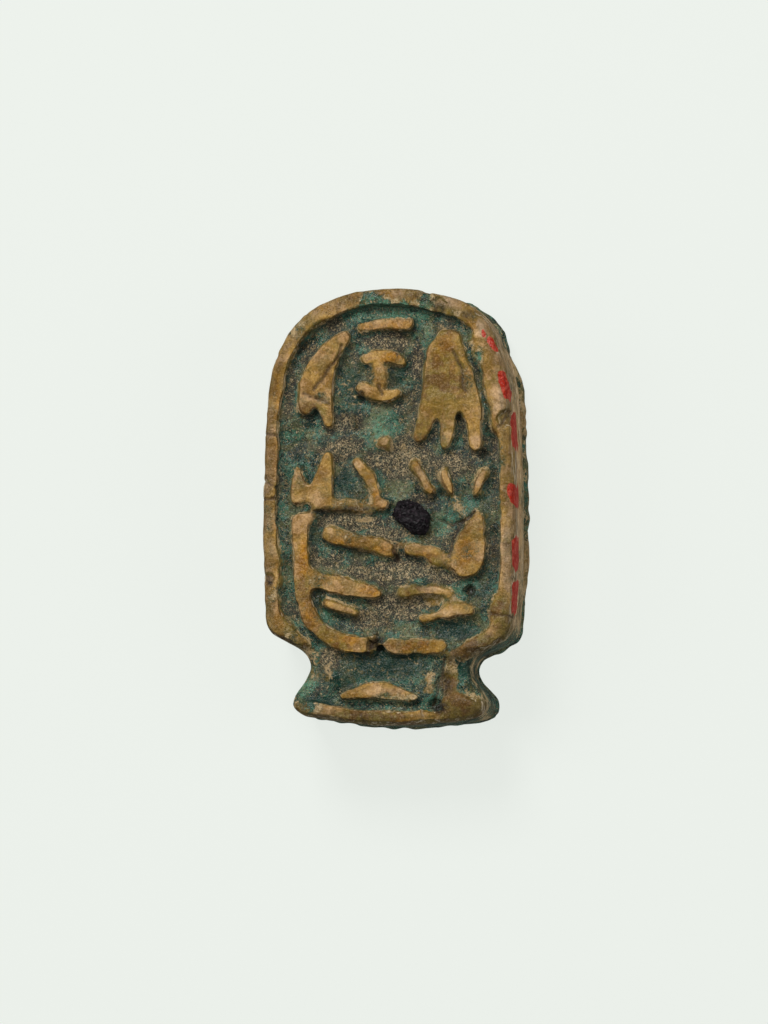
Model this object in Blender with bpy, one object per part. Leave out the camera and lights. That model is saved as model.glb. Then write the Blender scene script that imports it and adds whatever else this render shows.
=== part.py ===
"""Cartouche plaque: a small carved and glazed stone amulet, lying on its flat back.

Metres. +X is to the right of the carved face, +Y runs from the foot to the arched top, and +Z
points up out of the carved face. The origin is under the middle of the plaque, on its back face.
"""
import math
from collections import namedtuple

import bmesh
import bpy
from mathutils import Vector

MM = 0.001

# Whole stone
LENGTH = 16.9 * MM
THICKNESS = 4.6 * MM
EDGE_ROUND = 0.38 * MM

# Arched body; heights along the plaque are counted from the underside of its foot
BODY_WIDTH = 9.9 * MM
SIDE_BOW = 0.17 * MM
DOME_RISE = 4.62 * MM
DOME_POWER = 2.2
BODY_CORNER_RADIUS = 0.7 * MM
BODY_CORNER_CENTRE = 3.93 * MM

# Neck and foot: the tie below the ring
NECK_WIDTH = 6.15 * MM
NECK_RADIUS = 0.64 * MM
NECK_CENTRE = 2.23 * MM
FOOT_WIDTH = 7.64 * MM
FOOT_TIP_RADIUS = 0.64 * MM
FOOT_TIP_CENTRE = 0.93 * MM

# Sunk field inside the outer rim
RIM_WIDTH = 0.62 * MM
RELIEF_DEPTH = 0.4 * MM
FIELD_BOTTOM = 3.0 * MM
FIELD_CORNER_RADIUS = 1.1 * MM

# Worn inner ring, left at the lower left and along the bottom
RING_WIDTH = 0.66 * MM
RING_INSET = 0.9 * MM
RING_BOTTOM = 3.1 * MM
RING_CORNER_RADIUS = 2.2 * MM
RING_TOP_LEFT = 8.1 * MM
RING_BREAK_START = -0.62 * MM
RING_BREAK_END = 0.12 * MM
RING_RIGHT_END = 2.0 * MM

# Rows of strokes
STROKE_ROUND = 0.14 * MM
STROKE_ROUND_LIMIT = 0.3
STROKE_SINK = 0.3 * MM
ROW_HEIGHT_STEP = 0.012 * MM

# Hollow across the foot and neck, the little arch and the wing that stand in it
FOOT_RIM_WIDTH = 0.6 * MM
FOOT_HOLLOW_DEPTH = 0.44 * MM
HOLLOW_OVERLAP = 0.02 * MM
ARCH_END_WIDTH = 0.36 * MM
ARCH_CROWN_WIDTH = 0.66 * MM
ARCH_LEFT = -1.7 * MM
ARCH_RIGHT = 1.05 * MM
ARCH_SPRING = 1.12 * MM
ARCH_RISE = 0.26 * MM
WING_LEFT = 2.6 * MM
WING_RIGHT = 3.2 * MM
WING_INNER_WIDTH = 1.05 * MM
WING_OUTER_WIDTH = 0.7 * MM
WING_HEIGHT = 0.92 * MM

# Angular dark lump set in the field
LUMP_RADIUS = 0.88 * MM
LUMP_FLATNESS = 0.45
LUMP_RISE = 0.24 * MM
LUMP_ACROSS = 0.93 * MM
LUMP_HEIGHT = 8.05 * MM
LUMP_TURN = (0.12, 0.1, 0.4)

# Stringing hole along the plaque, and the line cut round its plain back
BORE_RADIUS = 0.6 * MM
BORE_SIDES = 20
BACK_LINE_INSET = 1.05 * MM
BACK_LINE_WIDTH = 0.32 * MM
BACK_LINE_DEPTH = 0.14 * MM
BACK_LINE_BOTTOM = 3.6 * MM

STONE_COLOUR = (0.17, 0.13, 0.06, 1.0)
STONE_ROUGHNESS = 0.55

CUT_CLEARANCE = 0.5 * MM
WELD = 0.001 * MM

# A stroke runs from one point to another. Its ends are given as shares of half the field's width,
# to the right, and of the field's height, upwards. Its widths, and how much it swells and bends in
# the middle, are shares of half the field's width, and stand is its share of the relief's depth.
Stroke = namedtuple("Stroke", "start end width_start width_end swell bend stand", defaults=(0.0, 0.0, 1.0))

TOP_ROW = (
    Stroke((-0.25, 0.930), (0.18, 0.938), 0.08, 0.12, stand=0.9),
)
UPPER_ROW = (
    Stroke((-0.40, 0.900), (-0.75, 0.700), 0.12, 0.14, swell=0.10, bend=-0.05),
    Stroke((-0.58, 0.800), (-0.53, 0.657), 0.20, 0.11, bend=-0.02),
    Stroke((-0.20, 0.836), (0.12, 0.832), 0.12, 0.12, bend=0.037, stand=0.92),
    Stroke((-0.22, 0.749), (0.09, 0.738), 0.16, 0.10, bend=-0.042, stand=0.92),
    Stroke((0.46, 0.866), (0.28, 0.605), 0.22, 0.12, swell=0.03, bend=0.02),
    Stroke((0.53, 0.877), (0.52, 0.584), 0.27, 0.11, swell=0.02),
    Stroke((0.58, 0.851), (0.78, 0.588), 0.24, 0.12, swell=0.03, bend=0.04),
)
SPECK_ROW = (
    Stroke((-0.32, 0.674), (-0.30, 0.644), 0.06, 0.05, stand=0.6),
    Stroke((-0.05, 0.602), (0.01, 0.599), 0.07, 0.06, stand=0.6),
)
MIDDLE_ROW = (
    Stroke((-0.82, 0.530), (-0.77, 0.440), 0.06, 0.20),
    Stroke((-0.54, 0.562), (-0.61, 0.436), 0.08, 0.24),
    Stroke((-0.29, 0.545), (-0.12, 0.446), 0.08, 0.15, bend=0.03),
    Stroke((-0.76, 0.420), (-0.05, 0.416), 0.15, 0.13, bend=-0.012),
    Stroke((0.25, 0.527), (0.37, 0.441), 0.07, 0.06, stand=0.7),
    Stroke((0.50, 0.508), (0.57, 0.444), 0.07, 0.06, stand=0.7),
    Stroke((0.83, 0.489), (0.77, 0.441), 0.08, 0.06, stand=0.75),
)
LOWER_ROW = (
    Stroke((-0.53, 0.333), (0.01, 0.285), 0.14, 0.17, bend=-0.014),
    Stroke((0.21, 0.286), (0.43, 0.268), 0.14, 0.17),
    Stroke((0.80, 0.380), (0.70, 0.256), 0.12, 0.33, swell=0.014),
)
BOTTOM_ROW = (
    Stroke((-0.76, 0.203), (-0.12, 0.158), 0.18, 0.16, bend=0.012),
    Stroke((0.18, 0.154), (0.44, 0.158), 0.07, 0.08, stand=0.6),
    Stroke((0.29, 0.083), (0.73, 0.109), 0.08, 0.12, stand=0.85),
)
STROKE_ROWS = (TOP_ROW, UPPER_ROW, SPECK_ROW, MIDDLE_ROW, LOWER_ROW, BOTTOM_ROW)

FIELD_HALF_WIDTH = BODY_WIDTH / 2 - RIM_WIDTH
FIELD_HEIGHT = LENGTH - RIM_WIDTH - FIELD_BOTTOM

# Levels up from the back face
FACE_LEVEL = THICKNESS
FIELD_LEVEL = THICKNESS - RELIEF_DEPTH
BORE_LEVEL = THICKNESS / 2


def along(height):
    """Turn a height above the underside of the foot into a Y coordinate."""
    return height - LENGTH / 2


def field_point(shares):
    """Turn shares of half the field's width and of its height into a point on the plaque."""
    across, up = shares
    return Vector((across * FIELD_HALF_WIDTH, along(FIELD_BOTTOM + up * FIELD_HEIGHT)))


def arc_points(centre, radius, start_angle, end_angle, steps):
    """Points along an arc, both ends included."""
    points = []
    for step in range(steps + 1):
        angle = start_angle + (end_angle - start_angle) * step / steps
        points.append(Vector(centre) + radius * Vector((math.cos(angle), math.sin(angle))))
    return points


def crossing_tangent(first, first_radius, second, second_radius, side):
    """Angle on the first circle where a straight line leaves it to pass the second circle's far side."""
    gap = Vector(second) - Vector(first)
    lean = math.acos((first_radius + second_radius) / gap.length)
    return math.atan2(gap.y, gap.x) + side * lean


def mirrored_outline(right_half):
    """Close an outline from its right half, which starts and ends on the plaque's middle line."""
    left_half = [Vector((-point.x, point.y)) for point in reversed(right_half[1:-1])]
    return right_half + left_half


def half_width_at(height):
    """Half the body's width between its lower corners and its dome, where the sides bow out."""
    low = BODY_CORNER_CENTRE
    high = LENGTH - DOME_RISE
    from_middle = (2 * height - low - high) / (high - low)
    return BODY_WIDTH / 2 - SIDE_BOW * from_middle ** 2


def side_and_dome(inset, low, side_steps=8, dome_steps=14):
    """Right edge of the arched body, a given distance inside it, from a height up to the top."""
    high = LENGTH - DOME_RISE
    points = []
    for step in range(side_steps):
        height = low + (high - low) * step / side_steps
        points.append(Vector((half_width_at(height) - inset, along(height))))
    across = half_width_at(high) - inset
    rise = DOME_RISE - inset
    for step in range(dome_steps + 1):
        angle = math.pi / 2 * step / dome_steps
        x = across * max(math.cos(angle), 0.0) ** (2 / DOME_POWER)
        y = rise * math.sin(angle) ** (2 / DOME_POWER)
        points.append(Vector((x if step < dome_steps else 0.0, along(high) + y)))
    return points


def arched_right_half(inset, bottom, corner_radius, corner_steps=5):
    """Right half of an arched shape with a straight bottom and round lower corners."""
    corner_height = bottom + corner_radius
    across = half_width_at(corner_height) - inset
    corner = (across - corner_radius, along(corner_height))
    right_half = [Vector((0.0, along(bottom)))]
    right_half += arc_points(corner, corner_radius, -math.pi / 2, 0.0, corner_steps)[:-1]
    right_half += side_and_dome(inset, corner_height)
    return right_half


def foot_tip():
    """Centre of the round tip at the right end of the foot."""
    return Vector((FOOT_WIDTH / 2 - FOOT_TIP_RADIUS, along(FOOT_TIP_CENTRE)))


def foot_sole(inset):
    """Underside of the foot, from the middle to the right: a wide arc that meets the tip smoothly."""
    tip = foot_tip()
    reach = tip.x ** 2 + FOOT_TIP_CENTRE ** 2 - FOOT_TIP_RADIUS ** 2
    sole_radius = reach / (2 * (FOOT_TIP_CENTRE - FOOT_TIP_RADIUS))
    sole_centre = Vector((0.0, along(sole_radius)))
    sole_end = math.atan2(tip.y - sole_centre.y, tip.x)
    return arc_points(sole_centre, sole_radius - inset, -math.pi / 2, sole_end, 6)


def neck_curve_radius():
    """Radius of the neck's hollow curve, limited by the room between the foot's tip and the body."""
    room_below = NECK_CENTRE - FOOT_TIP_CENTRE - FOOT_TIP_RADIUS
    room_above = BODY_CORNER_CENTRE - NECK_CENTRE - BODY_CORNER_RADIUS
    return min(NECK_RADIUS, room_below, room_above)


def plaque_outline():
    """Outline of the whole stone: foot, neck, arched body."""
    tip = foot_tip()
    neck_radius = neck_curve_radius()
    neck = (NECK_WIDTH / 2 + neck_radius, along(NECK_CENTRE))
    corner = (half_width_at(BODY_CORNER_CENTRE) - BODY_CORNER_RADIUS, along(BODY_CORNER_CENTRE))
    right_half = foot_sole(0.0)
    sole_end = math.atan2(right_half[-1].y - tip.y, right_half[-1].x - tip.x)
    foot_angle = crossing_tangent(tip, FOOT_TIP_RADIUS, neck, neck_radius, side=-1)
    neck_angle = crossing_tangent(neck, neck_radius, corner, BODY_CORNER_RADIUS, side=1)
    right_half += arc_points(tip, FOOT_TIP_RADIUS, sole_end, foot_angle, 6)[1:]
    right_half += arc_points(neck, neck_radius, foot_angle + math.pi, neck_angle, 7)
    right_half += arc_points(corner, BODY_CORNER_RADIUS, neck_angle - math.pi, 0.0, 5)[:-1]
    right_half += side_and_dome(0.0, BODY_CORNER_CENTRE)
    return mirrored_outline(right_half)


def ribbon_outline(path, widths, end_steps=4):
    """Outline of a band that follows a path, with a round end at each of its ends."""
    left = []
    right = []
    headings = []
    for index, point in enumerate(path):
        heading = path[min(index + 1, len(path) - 1)] - path[max(index - 1, 0)]
        heading.normalize()
        headings.append(heading)
        side = Vector((-heading.y, heading.x)) * widths[index] / 2
        left.append(point + side)
        right.append(point - side)
    start_angle = math.atan2(headings[0].y, headings[0].x)
    end_angle = math.atan2(headings[-1].y, headings[-1].x)
    quarter = math.pi / 2
    head = arc_points(path[-1], widths[-1] / 2, end_angle - quarter, end_angle + quarter, end_steps)
    tail = arc_points(path[0], widths[0] / 2, start_angle + quarter, start_angle + 3 * quarter, end_steps)
    return right[1:-1] + head + list(reversed(left[1:-1])) + tail


def stroke_outline(stroke, steps=4):
    """Outline of one stroke of the rows."""
    start = field_point(stroke.start)
    end = field_point(stroke.end)
    sideways = Vector((start.y - end.y, end.x - start.x)).normalized()
    path = []
    widths = []
    for step in range(steps + 1):
        share = step / steps
        middle_weight = 4 * share * (1 - share)
        path.append(start.lerp(end, share) + sideways * stroke.bend * FIELD_HALF_WIDTH * middle_weight)
        width = stroke.width_start + (stroke.width_end - stroke.width_start) * share
        widths.append((width + stroke.swell * middle_weight) * FIELD_HALF_WIDTH)
    return ribbon_outline(path, widths)


def solid_from_outlines(name, outlines, bottom, top, edge_round, collection, round_steps=1):
    """Raise one or more flat outlines between two levels, with rounded edges, as a closed mesh."""
    curve = bpy.data.curves.new(name + "_outline", "CURVE")
    curve.dimensions = "2D"
    curve.fill_mode = "BOTH"
    for outline in outlines:
        spline = curve.splines.new("POLY")
        spline.points.add(len(outline) - 1)
        for target, point in zip(spline.points, outline):
            target.co = (point.x, point.y, 0.0, 1.0)
        spline.use_cyclic_u = True
    curve.bevel_depth = edge_round
    curve.bevel_resolution = round_steps
    curve.offset = -edge_round
    curve.extrude = (top - bottom) / 2 - edge_round

    source = bpy.data.objects.new(name + "_outline", curve)
    source.location = (0.0, 0.0, (top + bottom) / 2)
    collection.objects.link(source)
    bpy.context.view_layer.update()
    evaluated = source.evaluated_get(bpy.context.evaluated_depsgraph_get())
    mesh = bpy.data.meshes.new_from_object(evaluated)
    mesh.name = name
    place = source.matrix_world.copy()
    bpy.data.objects.remove(source)
    bpy.data.curves.remove(curve)

    build = bmesh.new()
    build.from_mesh(mesh)
    build.transform(place)
    bmesh.ops.remove_doubles(build, verts=build.verts, dist=WELD)
    bmesh.ops.recalc_face_normals(build, faces=build.faces)
    build.to_mesh(mesh)
    build.free()
    solid = bpy.data.objects.new(name, mesh)
    collection.objects.link(solid)
    return solid


def moved_to(collection, solid):
    """Put a new primitive in the collection it belongs to."""
    for old_home in list(solid.users_collection):
        old_home.objects.unlink(solid)
    collection.objects.link(solid)
    return solid


def mark_as_tool(solid):
    """A cutter or a raised stroke only shapes the stone: it isn't a piece of its own."""
    solid.hide_render = True
    solid.display_type = "WIRE"


def add_field_cutter(cutters):
    """The sunk field inside the outer rim."""
    outline = mirrored_outline(arched_right_half(RIM_WIDTH, FIELD_BOTTOM, FIELD_CORNER_RADIUS))
    top = FACE_LEVEL + CUT_CLEARANCE
    return solid_from_outlines("field_cut", [outline], FIELD_LEVEL, top, 0.0, cutters)


def add_foot_cutter(cutters):
    """The hollow from the foot's rim up to the field. It runs out at both sides of the neck."""
    right_half = foot_sole(FOOT_RIM_WIDTH)
    outside = FOOT_WIDTH / 2 + CUT_CLEARANCE
    field_end = along(FIELD_BOTTOM) + HOLLOW_OVERLAP
    right_half.append(Vector((outside, right_half[-1].y)))
    right_half.append(Vector((outside, field_end)))
    right_half.append(Vector((0.0, field_end)))
    level = FACE_LEVEL - FOOT_HOLLOW_DEPTH
    top = FACE_LEVEL + CUT_CLEARANCE
    return solid_from_outlines("foot_cut", [mirrored_outline(right_half)], level, top, 0.0, cutters)


def add_bore_cutter(cutters):
    """The stringing hole, right through from the foot to the arched top."""
    bpy.ops.mesh.primitive_cylinder_add(
        vertices=BORE_SIDES, radius=BORE_RADIUS, depth=LENGTH + 2 * CUT_CLEARANCE,
        location=(0.0, 0.0, BORE_LEVEL), rotation=(math.pi / 2, 0.0, 0.0))
    bore = bpy.context.active_object
    bore.name = "bore_cut"
    return moved_to(cutters, bore)


def add_back_line_cutter(cutters):
    """A shallow line cut round the plain back, following the arched body."""
    outer_inset = BACK_LINE_INSET
    inner_inset = BACK_LINE_INSET + BACK_LINE_WIDTH
    outer = arched_right_half(outer_inset, BACK_LINE_BOTTOM, FIELD_CORNER_RADIUS)
    inner_radius = FIELD_CORNER_RADIUS - BACK_LINE_WIDTH
    inner = arched_right_half(inner_inset, BACK_LINE_BOTTOM + BACK_LINE_WIDTH, inner_radius)
    outlines = [mirrored_outline(outer), mirrored_outline(inner)]
    return solid_from_outlines("back_line_cut", outlines, -CUT_CLEARANCE, BACK_LINE_DEPTH, 0.0, cutters)


def add_ring_bands(strokes):
    """What is left of the inner ring: the lower left with its corner, and a length at the bottom."""
    right_half = arched_right_half(RIM_WIDTH + RING_INSET, RING_BOTTOM, RING_CORNER_RADIUS, corner_steps=8)
    left_half = [Vector((-point.x, point.y)) for point in right_half]
    top = along(RING_TOP_LEFT)
    corner_path = [point for point in left_half if point.y <= top and point.x < RING_BREAK_START]
    corner_path.insert(0, Vector((RING_BREAK_START, along(RING_BOTTOM))))
    bottom_path = [
        Vector((RING_BREAK_END, along(RING_BOTTOM))),
        Vector(((RING_BREAK_END + RING_RIGHT_END) / 2, along(RING_BOTTOM))),
        Vector((RING_RIGHT_END, along(RING_BOTTOM))),
    ]
    bands = []
    for name, path in (("ring_corner", corner_path), ("ring_bottom", bottom_path)):
        outline = ribbon_outline(path, [RING_WIDTH] * len(path))
        bottom = FIELD_LEVEL - STROKE_SINK
        bands.append(solid_from_outlines(name, [outline], bottom, FACE_LEVEL, STROKE_ROUND, strokes))
    return bands


def add_rows(strokes):
    """Rows of shallow worn strokes in the field; each row stands a hair lower than the last."""
    solids = []
    for row_number, row in enumerate(STROKE_ROWS):
        for number, stroke in enumerate(row):
            name = f"row_{row_number}_stroke_{number}"
            lower = ROW_HEIGHT_STEP * (1 + row_number + number / len(row))
            top = FIELD_LEVEL + (RELIEF_DEPTH - lower) * stroke.stand
            outline = stroke_outline(stroke)
            bottom = FIELD_LEVEL - STROKE_SINK
            narrow_end = min(stroke.width_start, stroke.width_end) * FIELD_HALF_WIDTH
            edge_round = min(STROKE_ROUND, narrow_end * STROKE_ROUND_LIMIT)
            solids.append(solid_from_outlines(name, [outline], bottom, top, edge_round, strokes))
    return solids


def add_foot_arch(strokes, steps=6):
    """The low arch that stands in the foot's hollow."""
    path = []
    widths = []
    for step in range(steps + 1):
        share = step / steps
        crown = math.sin(math.pi * share)
        x = ARCH_LEFT + (ARCH_RIGHT - ARCH_LEFT) * share
        path.append(Vector((x, along(ARCH_SPRING + ARCH_RISE * crown))))
        widths.append(ARCH_END_WIDTH + (ARCH_CROWN_WIDTH - ARCH_END_WIDTH) * crown)
    outline = ribbon_outline(path, widths)
    bottom = FACE_LEVEL - FOOT_HOLLOW_DEPTH - STROKE_SINK
    top = FACE_LEVEL - ROW_HEIGHT_STEP
    return solid_from_outlines("foot_arch", [outline], bottom, top, STROKE_ROUND, strokes)


def add_foot_wing(strokes):
    """The raised wing at the right end of the foot, which grows out of its rim."""
    path = [Vector((WING_LEFT, along(WING_HEIGHT))), Vector((WING_RIGHT, along(WING_HEIGHT)))]
    outline = ribbon_outline(path, [WING_INNER_WIDTH, WING_OUTER_WIDTH])
    bottom = FACE_LEVEL - FOOT_HOLLOW_DEPTH - STROKE_SINK
    top = FACE_LEVEL - 2 * ROW_HEIGHT_STEP
    return solid_from_outlines("foot_wing", [outline], bottom, top, STROKE_ROUND, strokes)


def add_dark_lump(strokes):
    """The angular dark lump that is set in the field."""
    level = FIELD_LEVEL + LUMP_RISE - LUMP_RADIUS * LUMP_FLATNESS
    bpy.ops.mesh.primitive_ico_sphere_add(
        subdivisions=1, radius=LUMP_RADIUS, location=(LUMP_ACROSS, along(LUMP_HEIGHT), level),
        rotation=LUMP_TURN, scale=(1.0, 1.0, LUMP_FLATNESS))
    lump = bpy.context.active_object
    lump.name = "dark_lump"
    return moved_to(strokes, lump)


def glazed_stone_material():
    """Worn green glaze over pale brown stone, as one mean colour."""
    material = bpy.data.materials.new("glazed_stone")
    material.use_nodes = True
    shader = material.node_tree.nodes["Principled BSDF"]
    shader.inputs["Base Color"].default_value = STONE_COLOUR
    shader.inputs["Roughness"].default_value = STONE_ROUGHNESS
    shader.inputs["Metallic"].default_value = 0.0
    material.diffuse_color = STONE_COLOUR
    return material


def add_boolean(solid, name, operation, collection):
    """Cut or join a whole collection of tool solids in one step."""
    modifier = solid.modifiers.new(name, "BOOLEAN")
    modifier.operation = operation
    modifier.operand_type = "COLLECTION"
    modifier.collection = collection
    modifier.solver = "EXACT"
    return modifier


def new_collection(name):
    """A collection linked to the scene."""
    collection = bpy.data.collections.new(name)
    bpy.context.scene.collection.children.link(collection)
    return collection


def build_plaque():
    """The whole plaque: one stone."""
    for old in list(bpy.data.objects):
        bpy.data.objects.remove(old)
    plaque = new_collection("cartouche_plaque")
    cutters = new_collection("cutters")
    strokes = new_collection("raised_strokes")

    stone = solid_from_outlines(
        "cartouche_plaque", [plaque_outline()], 0.0, THICKNESS, EDGE_ROUND, plaque, round_steps=2)
    stone.data.materials.append(glazed_stone_material())

    tools = [add_field_cutter(cutters), add_foot_cutter(cutters)]
    tools += [add_bore_cutter(cutters), add_back_line_cutter(cutters)]
    tools += add_ring_bands(strokes)
    tools += add_rows(strokes)
    tools += [add_foot_arch(strokes), add_foot_wing(strokes), add_dark_lump(strokes)]
    for tool in tools:
        mark_as_tool(tool)

    add_boolean(stone, "carve", "DIFFERENCE", cutters)
    add_boolean(stone, "raise", "UNION", strokes)
    return stone


build_plaque()
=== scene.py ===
# %% [markdown]
# # A carved and glazed plaque, seventeen millimetres long
#
# This lesson dresses a small stone amulet. The real one was cut from soft pale stone, carved on
# its face, glazed blue-green and fired. Long wear took the glaze off everything that stands up
# and left it in the hollows, with burial dust on top. So one height map of the carving decides
# almost everything: where stone shows, where glaze is left, and where dust has settled.
#
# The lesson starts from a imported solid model, the frame, which gives the true size and carving.
# Nothing in the frame is moved. A finer surface is grown on a copy of it.

# %% Load the fixed frame and keep its box
import math

import bmesh
import bpy
import numpy as np
from mathutils import Matrix, Vector
from mathutils.kdtree import KDTree


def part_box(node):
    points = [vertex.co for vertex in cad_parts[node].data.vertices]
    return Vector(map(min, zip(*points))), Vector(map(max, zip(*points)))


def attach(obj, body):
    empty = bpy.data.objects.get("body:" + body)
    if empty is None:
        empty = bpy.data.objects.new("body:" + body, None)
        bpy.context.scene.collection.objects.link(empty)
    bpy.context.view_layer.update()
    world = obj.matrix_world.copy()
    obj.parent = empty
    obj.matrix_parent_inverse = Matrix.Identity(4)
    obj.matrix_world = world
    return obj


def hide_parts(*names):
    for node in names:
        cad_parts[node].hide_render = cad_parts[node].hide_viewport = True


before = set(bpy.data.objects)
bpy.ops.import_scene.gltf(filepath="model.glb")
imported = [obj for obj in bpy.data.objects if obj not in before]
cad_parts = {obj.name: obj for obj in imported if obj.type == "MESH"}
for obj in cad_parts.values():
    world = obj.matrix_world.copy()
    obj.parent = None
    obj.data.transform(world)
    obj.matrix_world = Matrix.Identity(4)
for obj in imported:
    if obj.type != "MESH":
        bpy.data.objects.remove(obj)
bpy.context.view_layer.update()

MM = 0.001
solid_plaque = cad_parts["cartouche_plaque"]
low_corner, high_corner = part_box("cartouche_plaque")
LENGTH = (high_corner.y - low_corner.y) / MM
WIDTH = (high_corner.x - low_corner.x) / MM
FACE_LEVEL = high_corner.z / MM
CARVING_DEPTH = 0.4
FIELD_LEVEL = FACE_LEVEL - CARVING_DEPTH
print("plaque", round(WIDTH, 2), "x", round(LENGTH, 2), "x", round(FACE_LEVEL, 2), "mm")

# %% [markdown]
# ## Growing a fine skin on the solid
#
# A carved surface could be sculpted by hand, or painted as bump. Bump alone would leave the
# outline and the shadows of the carving hard and new. Here a voxel remesh turns the solid into an
# even net of small faces, and every mark of the hand and of wear is then a small push of its
# points. The remesh comes first because all the later steps need points that lie evenly.

# %% Remesh a copy of the solid
SKIN_STEP = 0.066 * MM
WELD = 0.0005 * MM


def merged_copy(node, name):
    """A copy of a frame node's mesh with its loose triangles joined."""
    mesh = node.data.copy()
    mesh.name = name
    build = bmesh.new()
    build.from_mesh(mesh)
    bmesh.ops.remove_doubles(build, verts=build.verts, dist=WELD)
    build.to_mesh(mesh)
    build.free()
    return mesh


def linked_object(name, mesh):
    """A new object at the origin, in the scene."""
    made = bpy.data.objects.new(name, mesh)
    bpy.context.scene.collection.objects.link(made)
    return made


def settled_mesh(thing, name):
    """The mesh that an object's modifiers make, as a plain mesh of its own."""
    bpy.context.view_layer.update()
    evaluated = thing.evaluated_get(bpy.context.evaluated_depsgraph_get())
    mesh = bpy.data.meshes.new_from_object(evaluated)
    mesh.name = name
    return mesh


rough_block = linked_object("rough_block", merged_copy(solid_plaque, "rough_block"))
remesh = rough_block.modifiers.new("even skin", "REMESH")
remesh.mode = "VOXEL"
remesh.voxel_size = SKIN_STEP
even_mesh = settled_mesh(rough_block, "even_mesh")
bpy.data.objects.remove(rough_block)
print("even skin", len(even_mesh.vertices), "points")

# %% A net of points that know their neighbours
class Net:
    """The points of a mesh, in millimetres, and the edges between them."""

    def __init__(self, mesh):
        self.mesh = mesh
        self.count = len(mesh.vertices)
        places = np.empty(self.count * 3)
        mesh.vertices.foreach_get("co", places)
        self.points = places.reshape(-1, 3) / MM
        edges = np.empty(len(mesh.edges) * 2, dtype=np.int64)
        mesh.edges.foreach_get("vertices", edges)
        first, second = edges.reshape(-1, 2).T
        self.here = np.concatenate([first, second])
        self.there = np.concatenate([second, first])
        self.neighbours = np.bincount(self.here, minlength=self.count)

    def mean(self, values):
        """The mean of each point's neighbours, for one value or three at each point."""
        if values.ndim == 2:
            return np.stack([self.mean(values[:, axis]) for axis in range(3)], axis=1)
        return np.bincount(self.here, values[self.there], self.count) / self.neighbours

    def relaxed(self, values, rounds, share=0.5):
        """Values pulled towards their neighbours, which softens them a little each round."""
        for _ in range(rounds):
            values = values + share * (self.mean(values) - values)
        return values

    @property
    def height(self):
        """Height of each point above the back."""
        return self.points[:, 2]

    @property
    def up(self):
        """How far up from the foot each point lies."""
        return self.points[:, 1] + LENGTH / 2

    def from_spot(self, spot):
        """Distance on the face from each point to a spot, right of the middle and up from the foot."""
        return np.hypot(self.points[:, 0] - spot[0], self.up - spot[1])

    def write(self):
        """Put the moved points back into the mesh."""
        self.mesh.vertices.foreach_set("co", (self.points * MM).ravel())
        self.mesh.update()

    def normals(self):
        """Outward direction at each point as the mesh now is."""
        self.write()
        directions = np.empty(self.count * 3, dtype=np.float32)
        self.mesh.vertex_normals.foreach_get("vector", directions)
        return directions.reshape(-1, 3).astype(float)

    def soften(self, share, rounds):
        """Relax the points themselves, each by its own share."""
        self.points = self.points + share[:, None] * (self.relaxed(self.points, rounds) - self.points)

    def push(self, distances):
        """Move each point outward by its own distance."""
        self.points = self.points + self.normals() * distances[:, None]


net = Net(even_mesh)
print("edges of the net", len(net.here) // 2)

# %% A soft switch, used for every border below
def smooth_step(low, high, values):
    """A soft switch from 0 to 1 between two levels, or from 1 to 0 if the first is the higher."""
    share = np.clip((values - low) / (high - low), 0.0, 1.0)
    return share * share * (3.0 - 2.0 * share)


# %% [markdown]
# ## A cloud to break every straight line
#
# Nothing on a hand-cut stone is even. Blender's Displace modifier with a Clouds texture could push
# the points, but a few lines of array code give the same soft random field, and the same field can
# then also bend the borders of stains and glaze. The random table has a fixed seed.

# %% A soft random field
RANDOM_TABLE = np.random.default_rng(7).uniform(-1.0, 1.0, 4096)
HASH_PRIMES = (73856093, 19349663, 83492791)
SEED_SHIFT = 17.31


def cloud(places, cell, seed=0):
    """Smooth noise between -1 and 1 whose lumps are about one cell wide, in millimetres."""
    scaled = places / cell + seed * SEED_SHIFT
    base = np.floor(scaled).astype(np.int64)
    share = scaled - base
    share = share * share * (3.0 - 2.0 * share)
    total = np.zeros(len(places))
    for corner in range(8):
        step = np.array([corner & 1, corner >> 1 & 1, corner >> 2 & 1])
        first, second, third = (base + step).T
        key = first * HASH_PRIMES[0] ^ second * HASH_PRIMES[1] ^ third * HASH_PRIMES[2]
        weight = np.prod(np.where(step == 1, share, 1.0 - share), axis=1)
        total += weight * RANDOM_TABLE[np.abs(key) % len(RANDOM_TABLE)]
    return total


print("cloud spread", np.round(np.percentile(cloud(net.points, 0.5), [5, 50, 95]), 2))

# %% [markdown]
# ## Small forms on the face
#
# A few low forms are too soft for the solid model: the rim swells where it turns in at the lower
# corners, thin strokes have thick ends, and small lumps stand between the rows. They could be
# sculpted, but each is simple enough to be a bent line with a width. Points near the line are
# lifted to a round ridge, as a strip of clay pressed onto the ground would lie. One gap is cut the
# same way, downwards, between two parts that stand close together.

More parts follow.
